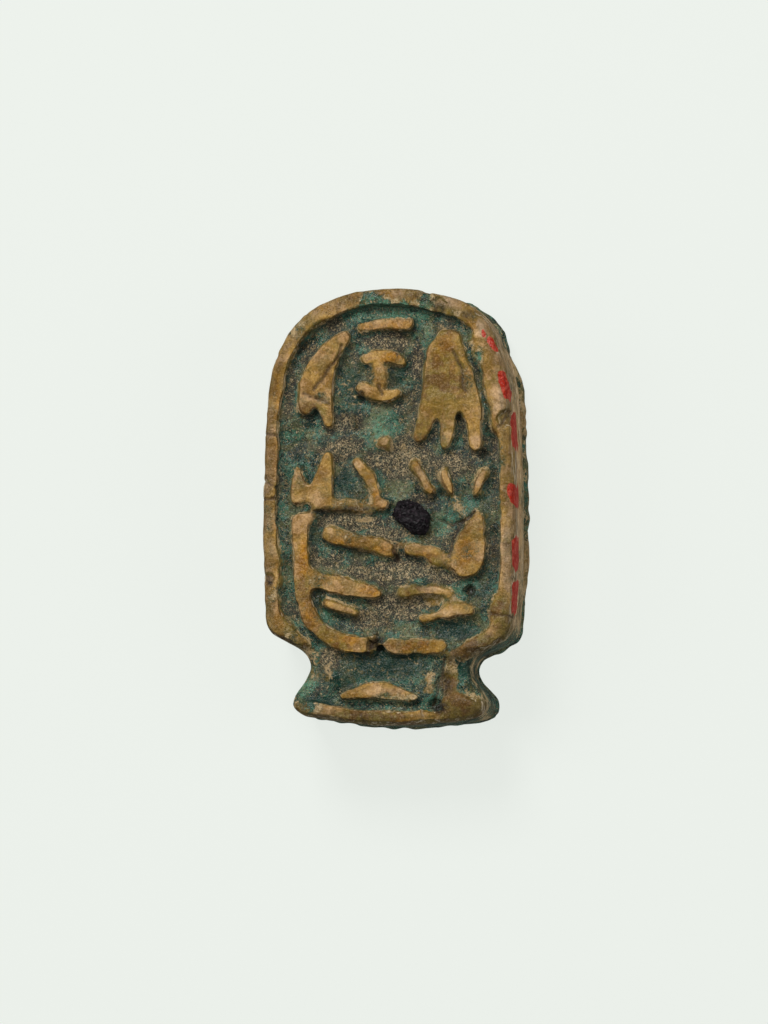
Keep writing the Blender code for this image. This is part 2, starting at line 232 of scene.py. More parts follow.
# %% Where ridges and gaps are: line, half width and rise
RIDGES = (
    (((4.5, 4.9), (4.25, 3.9), (3.7, 3.25), (3.05, 2.85)), 0.42, 0.36),
    (((-4.6, 4.6), (-4.3, 3.9), (-3.7, 3.25), (-3.3, 3.0)), 0.36, 0.34),
    (((2.7, 8.5), (3.1, 8.1)), 0.4, 0.11),
    (((-3.35, 7.95), (-3.1, 7.95)), 0.28, 0.36),
    (((1.05, 10.0), (1.6, 8.95)), 0.22, 0.34),
    (((2.12, 9.75), (2.38, 8.98)), 0.2, 0.34),
    (((3.65, 9.6), (3.36, 8.95)), 0.2, 0.34),
    (((-0.3, 10.85), (-0.05, 10.75)), 0.24, 0.2),
    (((0.5, 5.05), (1.5, 5.15), (2.3, 5.1)), 0.26, 0.2),
    (((1.7, 6.35), (2.6, 6.2)), 0.34, 0.34),
    (((-0.35, 13.75), (-0.3, 13.3)), 0.3, 0.3),
    (((2.3, 4.45), (3.0, 4.5)), 0.3, 0.3),
    (((-2.3, 4.75), (-1.2, 4.35)), 0.3, 0.2),
    (((3.4, 15.0), (3.8, 13.9), (4.12, 12.6), (4.3, 11.5)), 0.36, 0.36),
    (((-4.45, 5.6), (-4.5, 7.0)), 0.3, 0.34),
)
GAPS = ((((-3.85, 8.3), (-3.0, 8.35)), 0.2),)


def bent_places(points, reach, cell, seed):
    """Places on the face, right and up from the foot, shifted a little by clouds."""
    right = points[:, 0] + reach * cloud(points, cell, seed)
    up = points[:, 1] + LENGTH / 2 + reach * cloud(points, cell, seed + 1)
    return right, up


def line_distance(right, up, line):
    """Distance on the face from each point to a bent line."""
    nearest = np.full(len(right), 99.0)
    for (x0, y0), (x1, y1) in zip(line, line[1:]):
        run = ((right - x0) * (x1 - x0) + (up - y0) * (y1 - y0)) / ((x1 - x0) ** 2 + (y1 - y0) ** 2)
        run = np.clip(run, 0.0, 1.0)
        nearest = np.minimum(nearest, np.hypot(right - x0 - run * (x1 - x0), up - y0 - run * (y1 - y0)))
    return nearest


# %% Lift the ridges and cut the gaps
right, up = bent_places(net.points, 0.09, 0.5, 45)
for line, half_width, rise in RIDGES:
    inside = np.clip(1.0 - line_distance(right, up, line) / half_width, 0.0, 1.0)
    level = FIELD_LEVEL + rise * np.sqrt(1.0 - (1.0 - inside) ** 2)
    low = (inside > 0.0) & (net.height > FIELD_LEVEL - 0.1) & (net.height < level)
    net.points[low, 2] = level[low]
for line, half_width in GAPS:
    inside = smooth_step(half_width, 0.5 * half_width, line_distance(right, up, line))
    net.points[:, 2] -= inside * np.clip(net.height - FIELD_LEVEL - 0.02, 0.0, None)
print("ridges", len(RIDGES), "and gaps", len(GAPS))

# %% [markdown]
# ## Wear
#
# Handling rounds what stands up and leaves the hollows sharp. Relaxing the face of the skin does
# the same. Then the edges of the carving are made to waver, as a hand-held point cuts them, and
# the whole stone gets its slow unevenness. All of this could be done with sculpt brushes, but as
# numbers it can be repeated and tuned.

# %% Measure how far every point lies inside the outline
WALL_BAND = (0.95, 1.45)
UPPER_PART = 2.2
FAR_INSIDE = 9.0
HOLE_CLEARANCE = 1.1

height = net.height
outward = net.normals()
clear_of_hole = np.hypot(net.points[:, 0], height - FACE_LEVEL / 2) > HOLE_CLEARANCE
in_band = (height > WALL_BAND[0]) & (height < WALL_BAND[1])
wall = np.flatnonzero((np.abs(outward[:, 2]) < 0.3) & in_band & clear_of_hole)
wall_tree = KDTree(len(wall))
for number, index in enumerate(wall):
    wall_tree.insert((net.points[index, 0], net.points[index, 1], 0.0), number)
wall_tree.balance()
from_rim = np.full(len(net.points), FAR_INSIDE)
for index in np.flatnonzero(height > UPPER_PART):
    from_rim[index] = wall_tree.find((net.points[index, 0], net.points[index, 1], 0.0))[2]
print("wall points", len(wall))

# %% Take the solid's own lump away, because a finer one is made further down
LUMP_RIGHT = 0.93
LUMP_UP = 8.05

lump_bed = smooth_step(0.95, 0.8, net.from_spot((LUMP_RIGHT, LUMP_UP)))
net.points[:, 2] -= lump_bed * np.clip(net.height - FIELD_LEVEL, 0.0, None)
print("points in the lump's bed", int((lump_bed > 0.5).sum()))

# %% Note what stands up, then round the carving and the edges
BELOW_CARVING = FIELD_LEVEL - 0.45

on_face = smooth_step(BELOW_CARVING, BELOW_CARVING + 0.25, net.height)
standing = net.relaxed(smooth_step(FIELD_LEVEL + 0.04, FIELD_LEVEL + 0.2, net.height), 3)
net.soften(on_face, 9)
net.points = net.relaxed(net.points, 5, 0.45)
print("standing share of the face", round(float(standing[on_face > 0.5].mean()), 2))

# %% Fade some lengths and crown the rest
faded = smooth_step(-0.15, -0.6, cloud(net.points, 1.0, 9)) * smooth_step(1.1, 1.6, from_rim)
standing *= 1.0 - 0.55 * faded
fullness = np.clip((net.relaxed(standing, 13) - 0.08) / 0.84, 0.0, 1.0)
crowned = FIELD_LEVEL + 0.38 * (1.0 - (1.0 - fullness) ** 2)
crown_weight = 0.8 * smooth_step(FIELD_LEVEL - 0.15, FIELD_LEVEL - 0.02, net.height)
net.points[:, 2] += crown_weight * (crowned - net.height)
net.soften(on_face, 4)
print("faded share of what stands", round(float(faded[standing > 0.3].mean()), 3))

# %% Roll the outer edge over
ROLL_WIDTH = 0.75
ROLL_START = 2.2

height = net.height
rolled = smooth_step(ROLL_WIDTH, 0.25, from_rim) * smooth_step(ROLL_START, 3.4, height)
net.soften(rolled, 45)
print("points rolled", int((rolled > 0.5).sum()))

# %% Soften the edges of the neck
up = net.up
at_neck = smooth_step(0.9, 1.5, up) * smooth_step(3.1, 2.7, up)
at_neck *= smooth_step(1.8, 2.5, np.abs(net.points[:, 0]))
net.soften(at_neck * smooth_step(1.4, 2.6, height), 90)
print("points at the neck", int((at_neck > 0.5).sum()))

# %% Note where bare stone stands, the rolled edge included
height = net.height
off_neck = 1.0 - 0.75 * at_neck
edge_top = smooth_step(0.4, 0.2, from_rim) * smooth_step(3.3, 3.6, height) * off_neck
standing = np.maximum(standing, edge_top)
outer_edge = smooth_step(0.6, 0.35, from_rim) * smooth_step(3.2, 3.5, height) * off_neck
for name, values in (("standing", standing), ("outer_edge", outer_edge)):
    note = even_mesh.attributes.new(name, "FLOAT", "POINT")
    note.data.foreach_set("value", values.astype(np.float32))
print("points on the outer edge", int((outer_edge > 0.5).sum()))

# %% Turn the foot a little and swell the right shoulder
FOOT_TURN = 0.022
SHOULDER = (3.5, 16.0)
SHOULDER_SWELL = 0.13

from_shoulder = net.from_spot(SHOULDER)
net.points[:, 1] -= FOOT_TURN * net.points[:, 0] * smooth_step(4.8, 3.2, net.up)
net.points[:, :2] += (SHOULDER_SWELL * smooth_step(2.0, 0.5, from_shoulder))[:, None]
print("points of the shoulder", int((from_shoulder < 1.0).sum()))

# %% Let the carved edges waver
for axis, seed in ((0, 11), (1, 21)):
    waver = 0.085 * cloud(net.points, 0.85, seed) + 0.045 * cloud(net.points, 0.33, seed + 1)
    net.points[:, axis] += on_face * (1.0 - 0.6 * outer_edge) * waver

raised = smooth_step(FIELD_LEVEL + 0.05, FIELD_LEVEL + 0.32, net.height)
worn_down = 0.04 + 0.1 * cloud(net.points, 1.3, 31) + 0.03 * cloud(net.points, 0.45, 32)
uneven_floor = 0.09 * cloud(net.points, 0.9, 33) + 0.04 * cloud(net.points, 0.35, 34) - 0.02
net.points[:, 2] -= on_face * raised * worn_down
net.points[:, 2] += on_face * (1.0 - raised) * uneven_floor
print("raised share of the face", round(float(raised[on_face > 0.5].mean()), 2))

# %% Slow unevenness of the whole stone, and pits
push = 0.035 * cloud(net.points, 3.1, 1) + 0.022 * cloud(net.points, 1.1, 2)
push += 0.01 * cloud(net.points, 0.4, 3)
push -= 0.035
push -= 0.03 * smooth_step(0.45, 0.85, cloud(net.points, 0.3, 5))
net.push(push)
print("pushed by", round(float(push.min()), 3), "to", round(float(push.max()), 3), "mm")

# %% [markdown]
# ## The lower edge of the side
#
# Low on the side a thin line runs round the stone, and the strip under it stands out a little and
# is nibbled in small steps. At the upper right this strip sticks out further. A cutter moved round
# the outline could make the line, but it would be too even. So it is a push of the side's points
# again, chosen by their height above the back.

# %% Groove and nibbled strip low on the side
STRIP_TOP = 0.95

height = net.height
outward = net.normals()
on_side = smooth_step(0.75, 0.35, np.abs(outward[:, 2]))
clear_of_hole = smooth_step(0.9, 1.3, np.hypot(net.points[:, 0], height - FACE_LEVEL / 2))
groove = np.exp(-((height - STRIP_TOP) / 0.09) ** 2)
in_strip = smooth_step(STRIP_TOP, STRIP_TOP - 0.2, height)
up = net.up
right_middle = smooth_step(0.2, 0.8, outward[:, 0])
right_middle *= smooth_step(5.0, 6.6, up) * smooth_step(14.4, 13.0, up)
nibbles = 0.03 + 0.07 * cloud(net.points, 0.42, 41) + 0.09 * right_middle
corner_bulge = 0.13 * smooth_step(1.9, 0.5, net.from_spot(SHOULDER)) * smooth_step(1.4, 1.0, height)
top_push = 0.05 * smooth_step(14.5, 16.0, up)
side_push = on_side * clear_of_hole * (in_strip * nibbles - 0.06 * groove + corner_bulge + top_push)
net.push(side_push)
print("largest push of the strip", round(float(side_push.max()), 3), "mm")

# %% [markdown]
# ## Cracks and chips
#
# Fine cracks cross the rim, the large strokes and the foot, and bits have broken from the edges. A
# Boolean could cut them, but its edges would be sharp and clean. Here each crack is a bent line on
# the face, in millimetres right of the middle and up from the foot, and the points close to it
# sink. The same distance later darkens the crack.

# %% Where the cracks are, and the chips: right, up, radius and depth
CRACKS = (
    ((-1.75, 14.6), (-2.27, 13.74), (-2.89, 13.0)),
    ((-3.32, 12.77), (-2.74, 12.57), (-2.31, 12.42)),
    ((-5.0, 11.25), (-4.33, 11.21)),
    ((-5.0, 9.51), (-4.68, 9.39), (-4.37, 9.23)),
    ((-5.0, 8.73), (-4.37, 8.77)),
    ((4.95, 12.1), (4.52, 11.83), (4.33, 11.5)),
    ((0.33, 6.98), (0.21, 6.75), (0.33, 6.36)),
    ((3.32, 8.23), (2.77, 7.64), (2.46, 7.06), (2.35, 6.5)),
    ((1.92, 7.95), (2.46, 7.68), (2.81, 7.8)),
    ((2.15, 2.6), (2.0, 1.82), (1.84, 1.24), (1.69, 0.7)),
    ((3.86, 4.31), (4.95, 4.19)),
    ((-0.45, 3.6), (-0.6, 3.18), (-0.87, 2.79)),
    ((2.58, 14.43), (2.85, 13.58), (3.01, 12.8)),
    ((-0.37, 13.11), (-0.25, 12.7)),
    ((-0.99, 0.5), (-0.95, -0.1)),
    ((-4.09, 3.41), (-3.59, 3.14)),
)
CHIPS = (
    (-4.65, 5.7, 0.26, 0.1), (4.62, 11.75, 0.38, 0.2), (2.0, 16.1, 0.4, 0.16),
    (-4.85, 9.4, 0.2, 0.05), (1.45, 16.6, 0.3, 0.12), (3.75, 10.35, 0.3, 0.14),
    (-0.5, 3.15, 0.34, 0.2), (1.75, 0.55, 0.5, 0.16), (2.1, 1.7, 0.36, 0.1),
    (3.1, 5.2, 0.22, 0.2), (-1.05, 12.7, 0.25, 0.1), (0.5, 14.1, 0.25, 0.1),
)


def crack_share(points):
    """How deep in a crack a point lies, from 0 to 1."""
    right, up = bent_places(points, 0.07, 0.35, 51)
    nearest = np.full(len(points), 99.0)
    for line in CRACKS:
        nearest = np.minimum(nearest, line_distance(right, up, line))
    return smooth_step(0.085, 0.015, nearest) * smooth_step(2.6, 3.4, points[:, 2])


def chip_depth(points):
    """How far each point has broken away, in millimetres."""
    right, up = bent_places(points, 0.12, 0.3, 55)
    depth = np.zeros(len(points))
    for chip_right, chip_up, radius, deepest in CHIPS:
        reach = np.hypot(right - chip_right, up - chip_up) / radius
        depth = np.maximum(depth, deepest * smooth_step(1.0, 0.55, reach))
    return depth * smooth_step(3.2, 3.9, points[:, 2])


# %% Sink the cracks and chips, and keep the skin near the solid's box
cracks = crack_share(net.points)
chips = chip_depth(net.points)
net.push(-((0.075 - 0.045 * outer_edge) * cracks + 0.5 * chips))
net.points[:, 2] -= 0.5 * chips
lowest = (-WIDTH / 2 - 0.25, -LENGTH / 2 - 0.1, 0.0)
highest = (WIDTH / 2 + 0.25, LENGTH / 2, FACE_LEVEL)
net.points = np.minimum(np.maximum(net.points, lowest), highest)
net.write()
print("points in cracks", int((cracks > 0.5).sum()), "and in chips", int((chips > 0.02).sum()))

# %% [markdown]
# ## Fewer faces where nothing happens
#
# The face needs the fine net. The back, the hole and the lower side don't, and a piece should stay
# under 200,000 triangles. A Decimate modifier with a vertex group thins only the plain parts. A
# coarser remesh would be simpler but would lose the fine marks of the carving.

# %% Thin the back, the hole and the lower side
TRIANGLE_LIMIT = 190000
PLAIN_BELOW = 3.6

plaque = linked_object("plaque_stone", even_mesh)
plain_parts = plaque.vertex_groups.new(name="plain_parts")
is_plain = net.height < PLAIN_BELOW
plain_parts.add(np.flatnonzero(is_plain).tolist(), 1.0, "REPLACE")
thin = plaque.modifiers.new("thin the plain parts", "DECIMATE")
thin.ratio = TRIANGLE_LIMIT / (2 * len(even_mesh.polygons))
thin.vertex_group = "plain_parts"
skin = settled_mesh(plaque, "plaque_stone")
plaque.modifiers.remove(thin)
plaque.vertex_groups.clear()
plaque.data = skin
net = Net(skin)
triangle_count = sum(len(face.vertices) - 2 for face in skin.polygons)
print("skin", net.count, "points", triangle_count, "triangles")

# %% [markdown]
# ## Masks: what lies where
#
# The finish is a story in layers: bare stone, glaze, dust, stains, ink. Some masks also carry painted
# shade in creases and below raised parts. Each layer gets one number at each point of the skin. The
# broad ones come from the shape of the carving. The others could be painted by hand in Blender's
# paint modes. Here they are soft spots at given places, with borders bent by clouds, as a painter
# would dab them on, so that each can be moved by changing a number.
# A spot is given by its place right of the middle and up from the foot, its half width, its half
# height and its strength.

# %% Masks from the carving
outward = net.normals()
raised = np.empty(net.count)
outer_edge = np.empty(net.count)
for name, values in (("standing", raised), ("outer_edge", outer_edge)):
    skin.attributes[name].data.foreach_get("value", values)
    skin.attributes.remove(skin.attributes[name])
by_height = smooth_step(FIELD_LEVEL + 0.03, FIELD_LEVEL + 0.26, net.height)
raised = np.maximum(0.55 * net.relaxed(raised, 3) + 0.45 * by_height, 0.9 * outer_edge)
# Painted shade: crease marks points lying lower than their neighbours, in creases and at the foot of walls,
# and shadow_side marks the steep faces that look to the foot, away from the top lamp. Both darken the
# colour further down, as painted shade and painted shadow.
near_height = net.relaxed(net.height, 8)
crease = smooth_step(0.004, 0.03, near_height - net.height)
face_share = smooth_step(FIELD_LEVEL - 0.6, FIELD_LEVEL - 0.25, net.height)
steep_below = smooth_step(0.1, 0.55, -outward[:, 1]) * smooth_step(0.97, 0.8, outward[:, 2])
shadow_side = net.relaxed(steep_below * face_share, 3)
sloping = smooth_step(0.96, 0.75, outward[:, 2]) * face_share * (1.0 - outer_edge)
# lower_slope marks slopes that look to the foot, away from the top lamp; it later darkens the film layer as
# painted shade.
lower_slope = smooth_step(0.0, 0.35, -outward[:, 1]) * smooth_step(0.98, 0.85, outward[:, 2]) * face_share
print("standing share of the face", round(float(raised[face_share > 0.5].mean()), 2))

# %% Soft spots
def spots(places, table, seed, reach=0.16):
    """Soft oval spots with bent borders, laid over each other."""
    right, up = bent_places(places, reach, 0.55, seed)
    right += 0.07 * cloud(places, 0.2, seed + 2)
    up += 0.07 * cloud(places, 0.2, seed + 3)
    total = np.zeros(len(places))
    for spot_right, spot_up, half_width, half_height, strength in table:
        distance = np.hypot((right - spot_right) / half_width, (up - spot_up) / half_height)
        total = np.maximum(total, strength * smooth_step(1.45, 0.45, distance))
    return total


def store(name, values):
    """Keep one number at each point of the skin, for the materials to read."""
    layer = skin.attributes.new(name, "FLOAT", "POINT")
    layer.data.foreach_set("value", values.astype(np.float32))


# %% Where glaze is left, deep or pale, and where stone shows in the hollows
GLAZE_ON_RAISED = (
    (-0.6, 16.2, 0.75, 0.5, 1.2), (1.45, 16.2, 0.4, 0.5, 1.2), (3.6, 14.2, 0.23, 0.35, 1.0),
    (0.45, 16.0, 0.5, 0.35, 1.1), (-0.1, 15.85, 1.5, 0.25, 1.1), (2.3, 15.6, 0.4, 0.25, 0.8),
    (-2.5, 12.6, 0.27, 0.23, 0.9), (-2.9, 11.8, 0.35, 0.27, 0.8), (2.9, 2.2, 0.5, 0.47, 0.7),
    (-3.0, 1.1, 0.9, 0.5, 1.1), (3.6, 1.5, 0.31, 0.39, 0.7), (-2.3, 0.2, 0.78, 0.16, 0.5),
    (1.9, 8.1, 0.39, 0.27, 0.5), (0.3, 16.3, 0.3, 0.2, 0.5), (2.6, 15.9, 0.3, 0.25, 0.5),
    (4.35, 10.4, 0.25, 0.7, 0.6), (-4.5, 5.0, 0.2, 0.4, 0.5), (0.3, 1.05, 1.1, 0.2, 0.9),
    (-3.5, 15.2, 0.3, 0.4, 0.5), (-3.9, 3.45, 0.3, 0.3, 0.7), (-4.6, 8.0, 0.12, 0.8, 0.5),
    (1.4, 3.4, 0.2, 0.2, 0.6),
)
DEEP_GLAZE = (
    (-0.1, 2.4, 1.8, 0.65, 1.2), (-1.7, 1.9, 0.7, 0.45, 0.8), (-2.6, 0.95, 0.6, 0.3, 1.0),
    (1.45, 11.5, 0.2, 0.45, 1.0), (2.6, 11.9, 0.22, 0.5, 1.0), (2.6, 3.6, 1.0, 0.4, 1.0),
    (0.25, 13.5, 0.35, 0.3, 0.8), (-0.1, 12.5, 0.7, 0.18, 0.8), (-1.5, 13.2, 0.25, 0.9, 0.8),
    (-2.9, 7.3, 0.3, 0.4, 0.8), (-2.9, 9.4, 0.4, 0.5, 0.9), (-1.6, 9.3, 0.45, 0.5, 0.9),
    (2.9, 2.2, 0.4, 0.4, 0.8), (-2.2, 4.9, 0.8, 0.45, 0.6), (-3.9, 15.0, 0.4, 1.2, 0.5),
    (-1.25, 13.1, 0.3, 0.9, 1.0), (-4.15, 13.6, 0.2, 1.3, 0.6), (3.75, 8.9, 0.3, 1.6, 0.7),
    (-0.6, 9.6, 0.4, 0.4, 0.7), (4.0, 13.8, 0.25, 1.1, 0.6), (3.7, 5.6, 0.25, 0.9, 0.6),
)
PALE_GLAZE = (
    (-0.1, 11.6, 0.58, 0.5, 1.0), (-0.6, 16.2, 0.54, 0.35, 0.8), (3.6, 14.2, 0.23, 0.35, 0.8),
    (-3.9, 11.2, 0.43, 0.19, 0.7), (-0.4, 9.5, 0.35, 0.39, 0.8), (-3.2, 1.5, 0.39, 0.39, 0.9),
    (-2.6, 0.4, 0.58, 0.19, 0.6), (-2.3, 4.4, 0.43, 0.47, 0.6), (1.6, 4.3, 0.5, 0.27, 0.7),
    (-4.0, 5.8, 0.27, 1.47, 0.4), (2.0, 7.8, 0.47, 0.39, 0.8), (2.9, 5.2, 0.54, 0.35, 0.5),
    (-1.5, 13.4, 0.19, 0.7, 0.4), (0.0, 16.05, 1.8, 0.4, 1.0), (-2.0, 8.2, 0.5, 0.2, 0.5),
    (1.6, 14.9, 0.25, 0.6, 0.8), (3.1, 5.6, 0.3, 0.4, 0.6), (0.4, 12.9, 0.3, 0.3, 0.5),
)
BARE_IN_HOLLOWS = (
    (2.35, 1.9, 0.3, 0.9, 1.0), (1.5, 1.6, 0.25, 0.4, 0.6), (2.6, 2.75, 0.5, 0.2, 0.9),
    (-2.4, 2.1, 0.3, 0.35, 0.5), (0.5, 6.95, 0.35, 0.15, 0.6), (-1.0, 8.0, 0.3, 0.12, 0.5),
    (1.7, 4.9, 0.5, 0.2, 0.6), (2.0, 15.3, 0.3, 0.2, 0.5),
)

# %% Bare stone against glaze
glaze_left = spots(net.points, GLAZE_ON_RAISED, 61)
pale_glaze = spots(net.points, PALE_GLAZE, 65)
deep_glaze = spots(net.points, DEEP_GLAZE, 69)
bare_noise = 0.3 * cloud(net.points, 0.7, 71) + 0.25 * cloud(net.points, 0.24, 72)
bare_face = raised * (1.1 + 0.3 * bare_noise) + 0.3 * bare_noise - 0.9 * glaze_left
bare_face += spots(net.points, BARE_IN_HOLLOWS, 79) * (1.0 - raised)
right_side = smooth_step(-0.2, 0.7, outward[:, 0])
in_strip = smooth_step(STRIP_TOP + 0.1, STRIP_TOP - 0.1, net.height)
up = net.up
low_side = smooth_step(4.1, 3.3, up)
shoulder = smooth_step(1.9, 1.0, net.from_spot(SHOULDER)) * smooth_step(2.2, 1.6, net.height)
bare_side = 0.5 + 0.45 * right_side - 0.5 * in_strip - 0.75 * low_side - 0.9 * shoulder
bare_side += 0.45 * cloud(net.points, 1.1, 73)
bare_stone = face_share * bare_face + (1.0 - face_share) * bare_side
store("bare_stone", bare_stone)
store("outer_edge", np.clip(outer_edge, 0.0, 1.0))
store("pale_glaze", pale_glaze)
store("deep_glaze", deep_glaze)
print("bare share of the face", round(float(bare_stone[face_share > 0.5].mean()), 2))

# %% Where stone is ochre or pinkish, and where a brown film lies
OCHRE = (
    (-1.5, 16.4, 0.58, 0.23, 0.8), (-2.3, 16.1, 0.35, 0.23, 0.6), (-4.3, 12.8, 0.19, 0.85, 0.7),
    (0.0, 16.5, 0.27, 0.27, 1.0), (-0.2, 15.3, 1.01, 0.23, 1.0), (0.2, 14.1, 0.5, 0.23, 0.9),
    (2.2, 14.2, 0.43, 0.7, 0.8), (0.8, 11.3, 0.27, 0.35, 0.7), (3.6, 10.6, 0.23, 0.27, 0.6),
    (-0.6, 8.8, 0.43, 0.23, 1.0), (-0.6, 8.5, 0.62, 0.19, 0.8), (-3.3, 6.4, 0.23, 0.85, 0.9),
    (-2.9, 4.3, 0.4, 0.6, 0.9), (-1.9, 3.3, 0.8, 0.35, 1.0), (0.9, 3.1, 0.85, 0.25, 1.0),
    (-0.7, 5.2, 0.47, 0.27, 0.9), (-1.7, 7.0, 0.47, 0.19, 0.7), (-0.3, 6.8, 0.39, 0.19, 0.7),
    (1.3, 6.4, 0.54, 0.23, 0.8), (3.0, 6.7, 0.39, 0.58, 0.9), (3.0, 0.8, 0.54, 0.31, 0.6),
    (0.6, 0.3, 0.7, 0.19, 0.6), (-4.7, 5.3, 0.16, 0.54, 0.5), (3.2, 15.5, 0.31, 0.27, 0.7),
    (2.3, 1.8, 0.19, 0.35, 0.5),
)
PINKISH = (
    (2.3, 16.3, 0.35, 0.27, 0.7), (3.6, 15.2, 0.27, 0.31, 1.0), (4.3, 12.4, 0.31, 0.54, 0.8),
    (2.3, 11.1, 0.35, 0.23, 0.7), (3.5, 10.9, 0.27, 0.31, 0.8), (1.3, 9.5, 0.19, 0.54, 0.7),
    (3.6, 9.4, 0.27, 0.31, 0.9), (2.2, 9.4, 0.2, 0.5, 0.6), (-1.1, 10.1, 0.19, 0.23, 0.9),
    (-3.3, 12.4, 0.23, 0.39, 0.6), (-2.6, 2.6, 0.5, 0.27, 0.7), (-2.3, 2.2, 0.27, 0.27, 0.9),
    (-0.1, 1.4, 0.93, 0.23, 0.7), (1.7, 1.6, 0.35, 0.43, 0.8), (-2.3, 7.6, 0.23, 0.27, 0.7),
    (2.3, 4.3, 0.85, 0.23, 0.8), (1.7, 5.1, 0.62, 0.19, 0.7), (-4.5, 6.8, 0.19, 0.39, 0.6),
    (-0.2, 10.8, 0.35, 0.23, 0.9), (4.6, 6.3, 0.31, 1.55, 0.5),
)
FILM = (
    (2.35, 1.9, 0.4, 0.9, 1.0), (2.6, 2.75, 0.55, 0.25, 1.0), (2.7, 8.5, 0.4, 0.4, 0.8),
    (2.2, 12.6, 0.9, 1.4, 0.4), (-2.4, 3.7, 0.8, 0.7, 0.4), (0.8, 3.1, 1.1, 0.3, 0.4),
    (2.9, 0.9, 1.1, 0.8, 1.0), (-1.0, 0.35, 1.6, 0.25, 0.8), (-2.2, 3.1, 0.8, 0.25, 0.8),
    (3.3, 3.3, 0.9, 0.35, 0.7), (4.3, 4.4, 0.35, 0.8, 0.6), (-1.5, 8.35, 1.4, 0.15, 0.7),
    (1.4, 6.2, 0.9, 0.25, 0.6), (2.6, 4.0, 0.6, 0.2, 0.8), (1.8, 10.9, 0.6, 0.4, 0.5),
    (-2.9, 12.0, 0.5, 0.4, 0.6), (1.9, 15.6, 1.0, 0.5, 0.5), (-3.6, 3.9, 0.6, 0.4, 0.6),
    (0.9, 5.1, 0.8, 0.2, 0.6), (-0.3, 3.3, 0.5, 0.3, 0.7), (-3.3, 5.2, 0.4, 0.5, 0.5),
)

# %% Ochre, pinkish stone, and brown film, with painted shade on slopes that face the foot
# Besides the brown film spots, this mask darkens the slopes of the carving, and more widely those that face
# the foot, away from the top lamp, where it is painted shade.
film_and_slope_shade = np.maximum(spots(net.points, FILM, 75), 0.65 * np.maximum(sloping, lower_slope))
film_and_slope_shade += 0.3 * smooth_step(0.2, 0.7, cloud(net.points, 0.9, 77))
store("film_and_slope_shade", np.clip(film_and_slope_shade, 0.0, 1.0))
ochre = spots(net.points, OCHRE, 81) + 0.35 * smooth_step(0.25, 0.7, cloud(net.points, 1.6, 83))
pinkish = spots(net.points, PINKISH, 85) + 0.4 * smooth_step(0.3, 0.7, cloud(net.points, 1.4, 87))
pinkish += 0.7 * right_side * (1.0 - face_share)
store("ochre", np.clip(ochre, 0.0, 1.0))
store("pinkish", np.clip(pinkish, 0.0, 1.0))
print("mean of film", round(float(film_and_slope_shade.mean()), 2), "and of ochre", round(float(ochre.mean()), 2))

# %% Where dust and dark stains are, and one painted shadow
DUST = (
    (-0.1, 14.8, 1.01, 0.39, 0.6), (-1.5, 13.7, 0.23, 0.85, 0.4), (1.1, 14.0, 0.27, 0.85, 0.5),
    (-3.9, 13.1, 0.27, 1.24, 0.45), (-2.2, 15.5, 0.54, 0.35, 0.4), (0.3, 10.1, 1.24, 0.58, 1.0),
    (-1.8, 10.7, 0.7, 0.43, 0.9), (2.5, 10.1, 0.54, 0.35, 0.6), (-1.4, 7.9, 1.32, 0.27, 0.9),
    (-0.1, 7.4, 0.85, 0.27, 0.9), (-0.1, 5.9, 1.71, 0.31, 1.0), (-2.4, 6.4, 0.54, 0.27, 0.5),
    (0.4, 4.7, 1.01, 0.54, 1.0), (-0.6, 4.0, 0.7, 0.35, 0.8), (2.2, 5.7, 0.78, 0.23, 0.9),
    (-1.7, 11.7, 0.78, 0.39, 0.7), (-2.1, 2.6, 0.54, 0.39, 0.6), (1.2, 8.6, 0.54, 0.27, 0.5),
    (0.0, 16.0, 0.9, 0.2, 0.7),
)
# The long thin spot at right -1.7, up 8.3 is a painted shadow under a raised bar; the rest are real dark
# stains.
DARK_STAINS_AND_SHADOW = (
    (-4.6, 5.6, 0.16, 0.23, 1.0), (-0.5, 3.2, 0.35, 0.27, 0.9), (2.0, 0.7, 0.43, 0.23, 1.0),
    (2.2, 1.6, 0.23, 0.54, 0.8), (2.6, 2.6, 0.43, 0.27, 0.7), (3.1, 5.2, 0.19, 0.19, 1.0),
    (1.4, 16.5, 0.19, 0.31, 0.7), (2.0, 16.1, 0.27, 0.19, 0.6), (3.0, 15.8, 0.31, 0.16, 0.6),
    (-1.7, 8.3, 1.47, 0.12, 0.8), (3.8, 10.5, 0.19, 0.19, 0.8), (1.2, 8.3, 0.85, 0.54, 0.6),
    (4.1, 6.7, 0.23, 1.24, 0.5), (0.3, 6.6, 0.16, 0.35, 0.8), (1.6, 7.8, 0.35, 0.35, 0.5),
    (3.6, 2.7, 0.47, 0.27, 0.5), (0.3, 4.7, 0.39, 0.31, 0.4), (2.9, 0.7, 0.8, 0.35, 0.4),
)

# %% Burial dust
dust = spots(net.points, DUST, 91) * (1.0 - 0.8 * raised)
dust += 0.35 * face_share * (1.0 - raised) * smooth_step(-0.1, 0.5, cloud(net.points, 0.9, 95))
dust += 0.14 * (1.0 - raised)
dust *= 1.0 - 0.7 * smooth_step(3.2, 2.8, up) * smooth_step(-2.2, -1.6, net.points[:, 0])
dust *= (1.0 - 0.85 * np.clip(deep_glaze, 0.0, 1.0)) * (1.0 - 0.6 * np.clip(pale_glaze, 0.0, 1.0))
store("dust", np.clip(dust, 0.0, 1.0) * face_share)
print("dusty share of the face", round(float((dust[face_share > 0.5] > 0.5).mean()), 2))

# %% Dark stains, painted shade in creases and below raised parts, and dark lines in cracks
patchy = smooth_step(-0.4, 0.4, cloud(net.points, 0.8, 98))
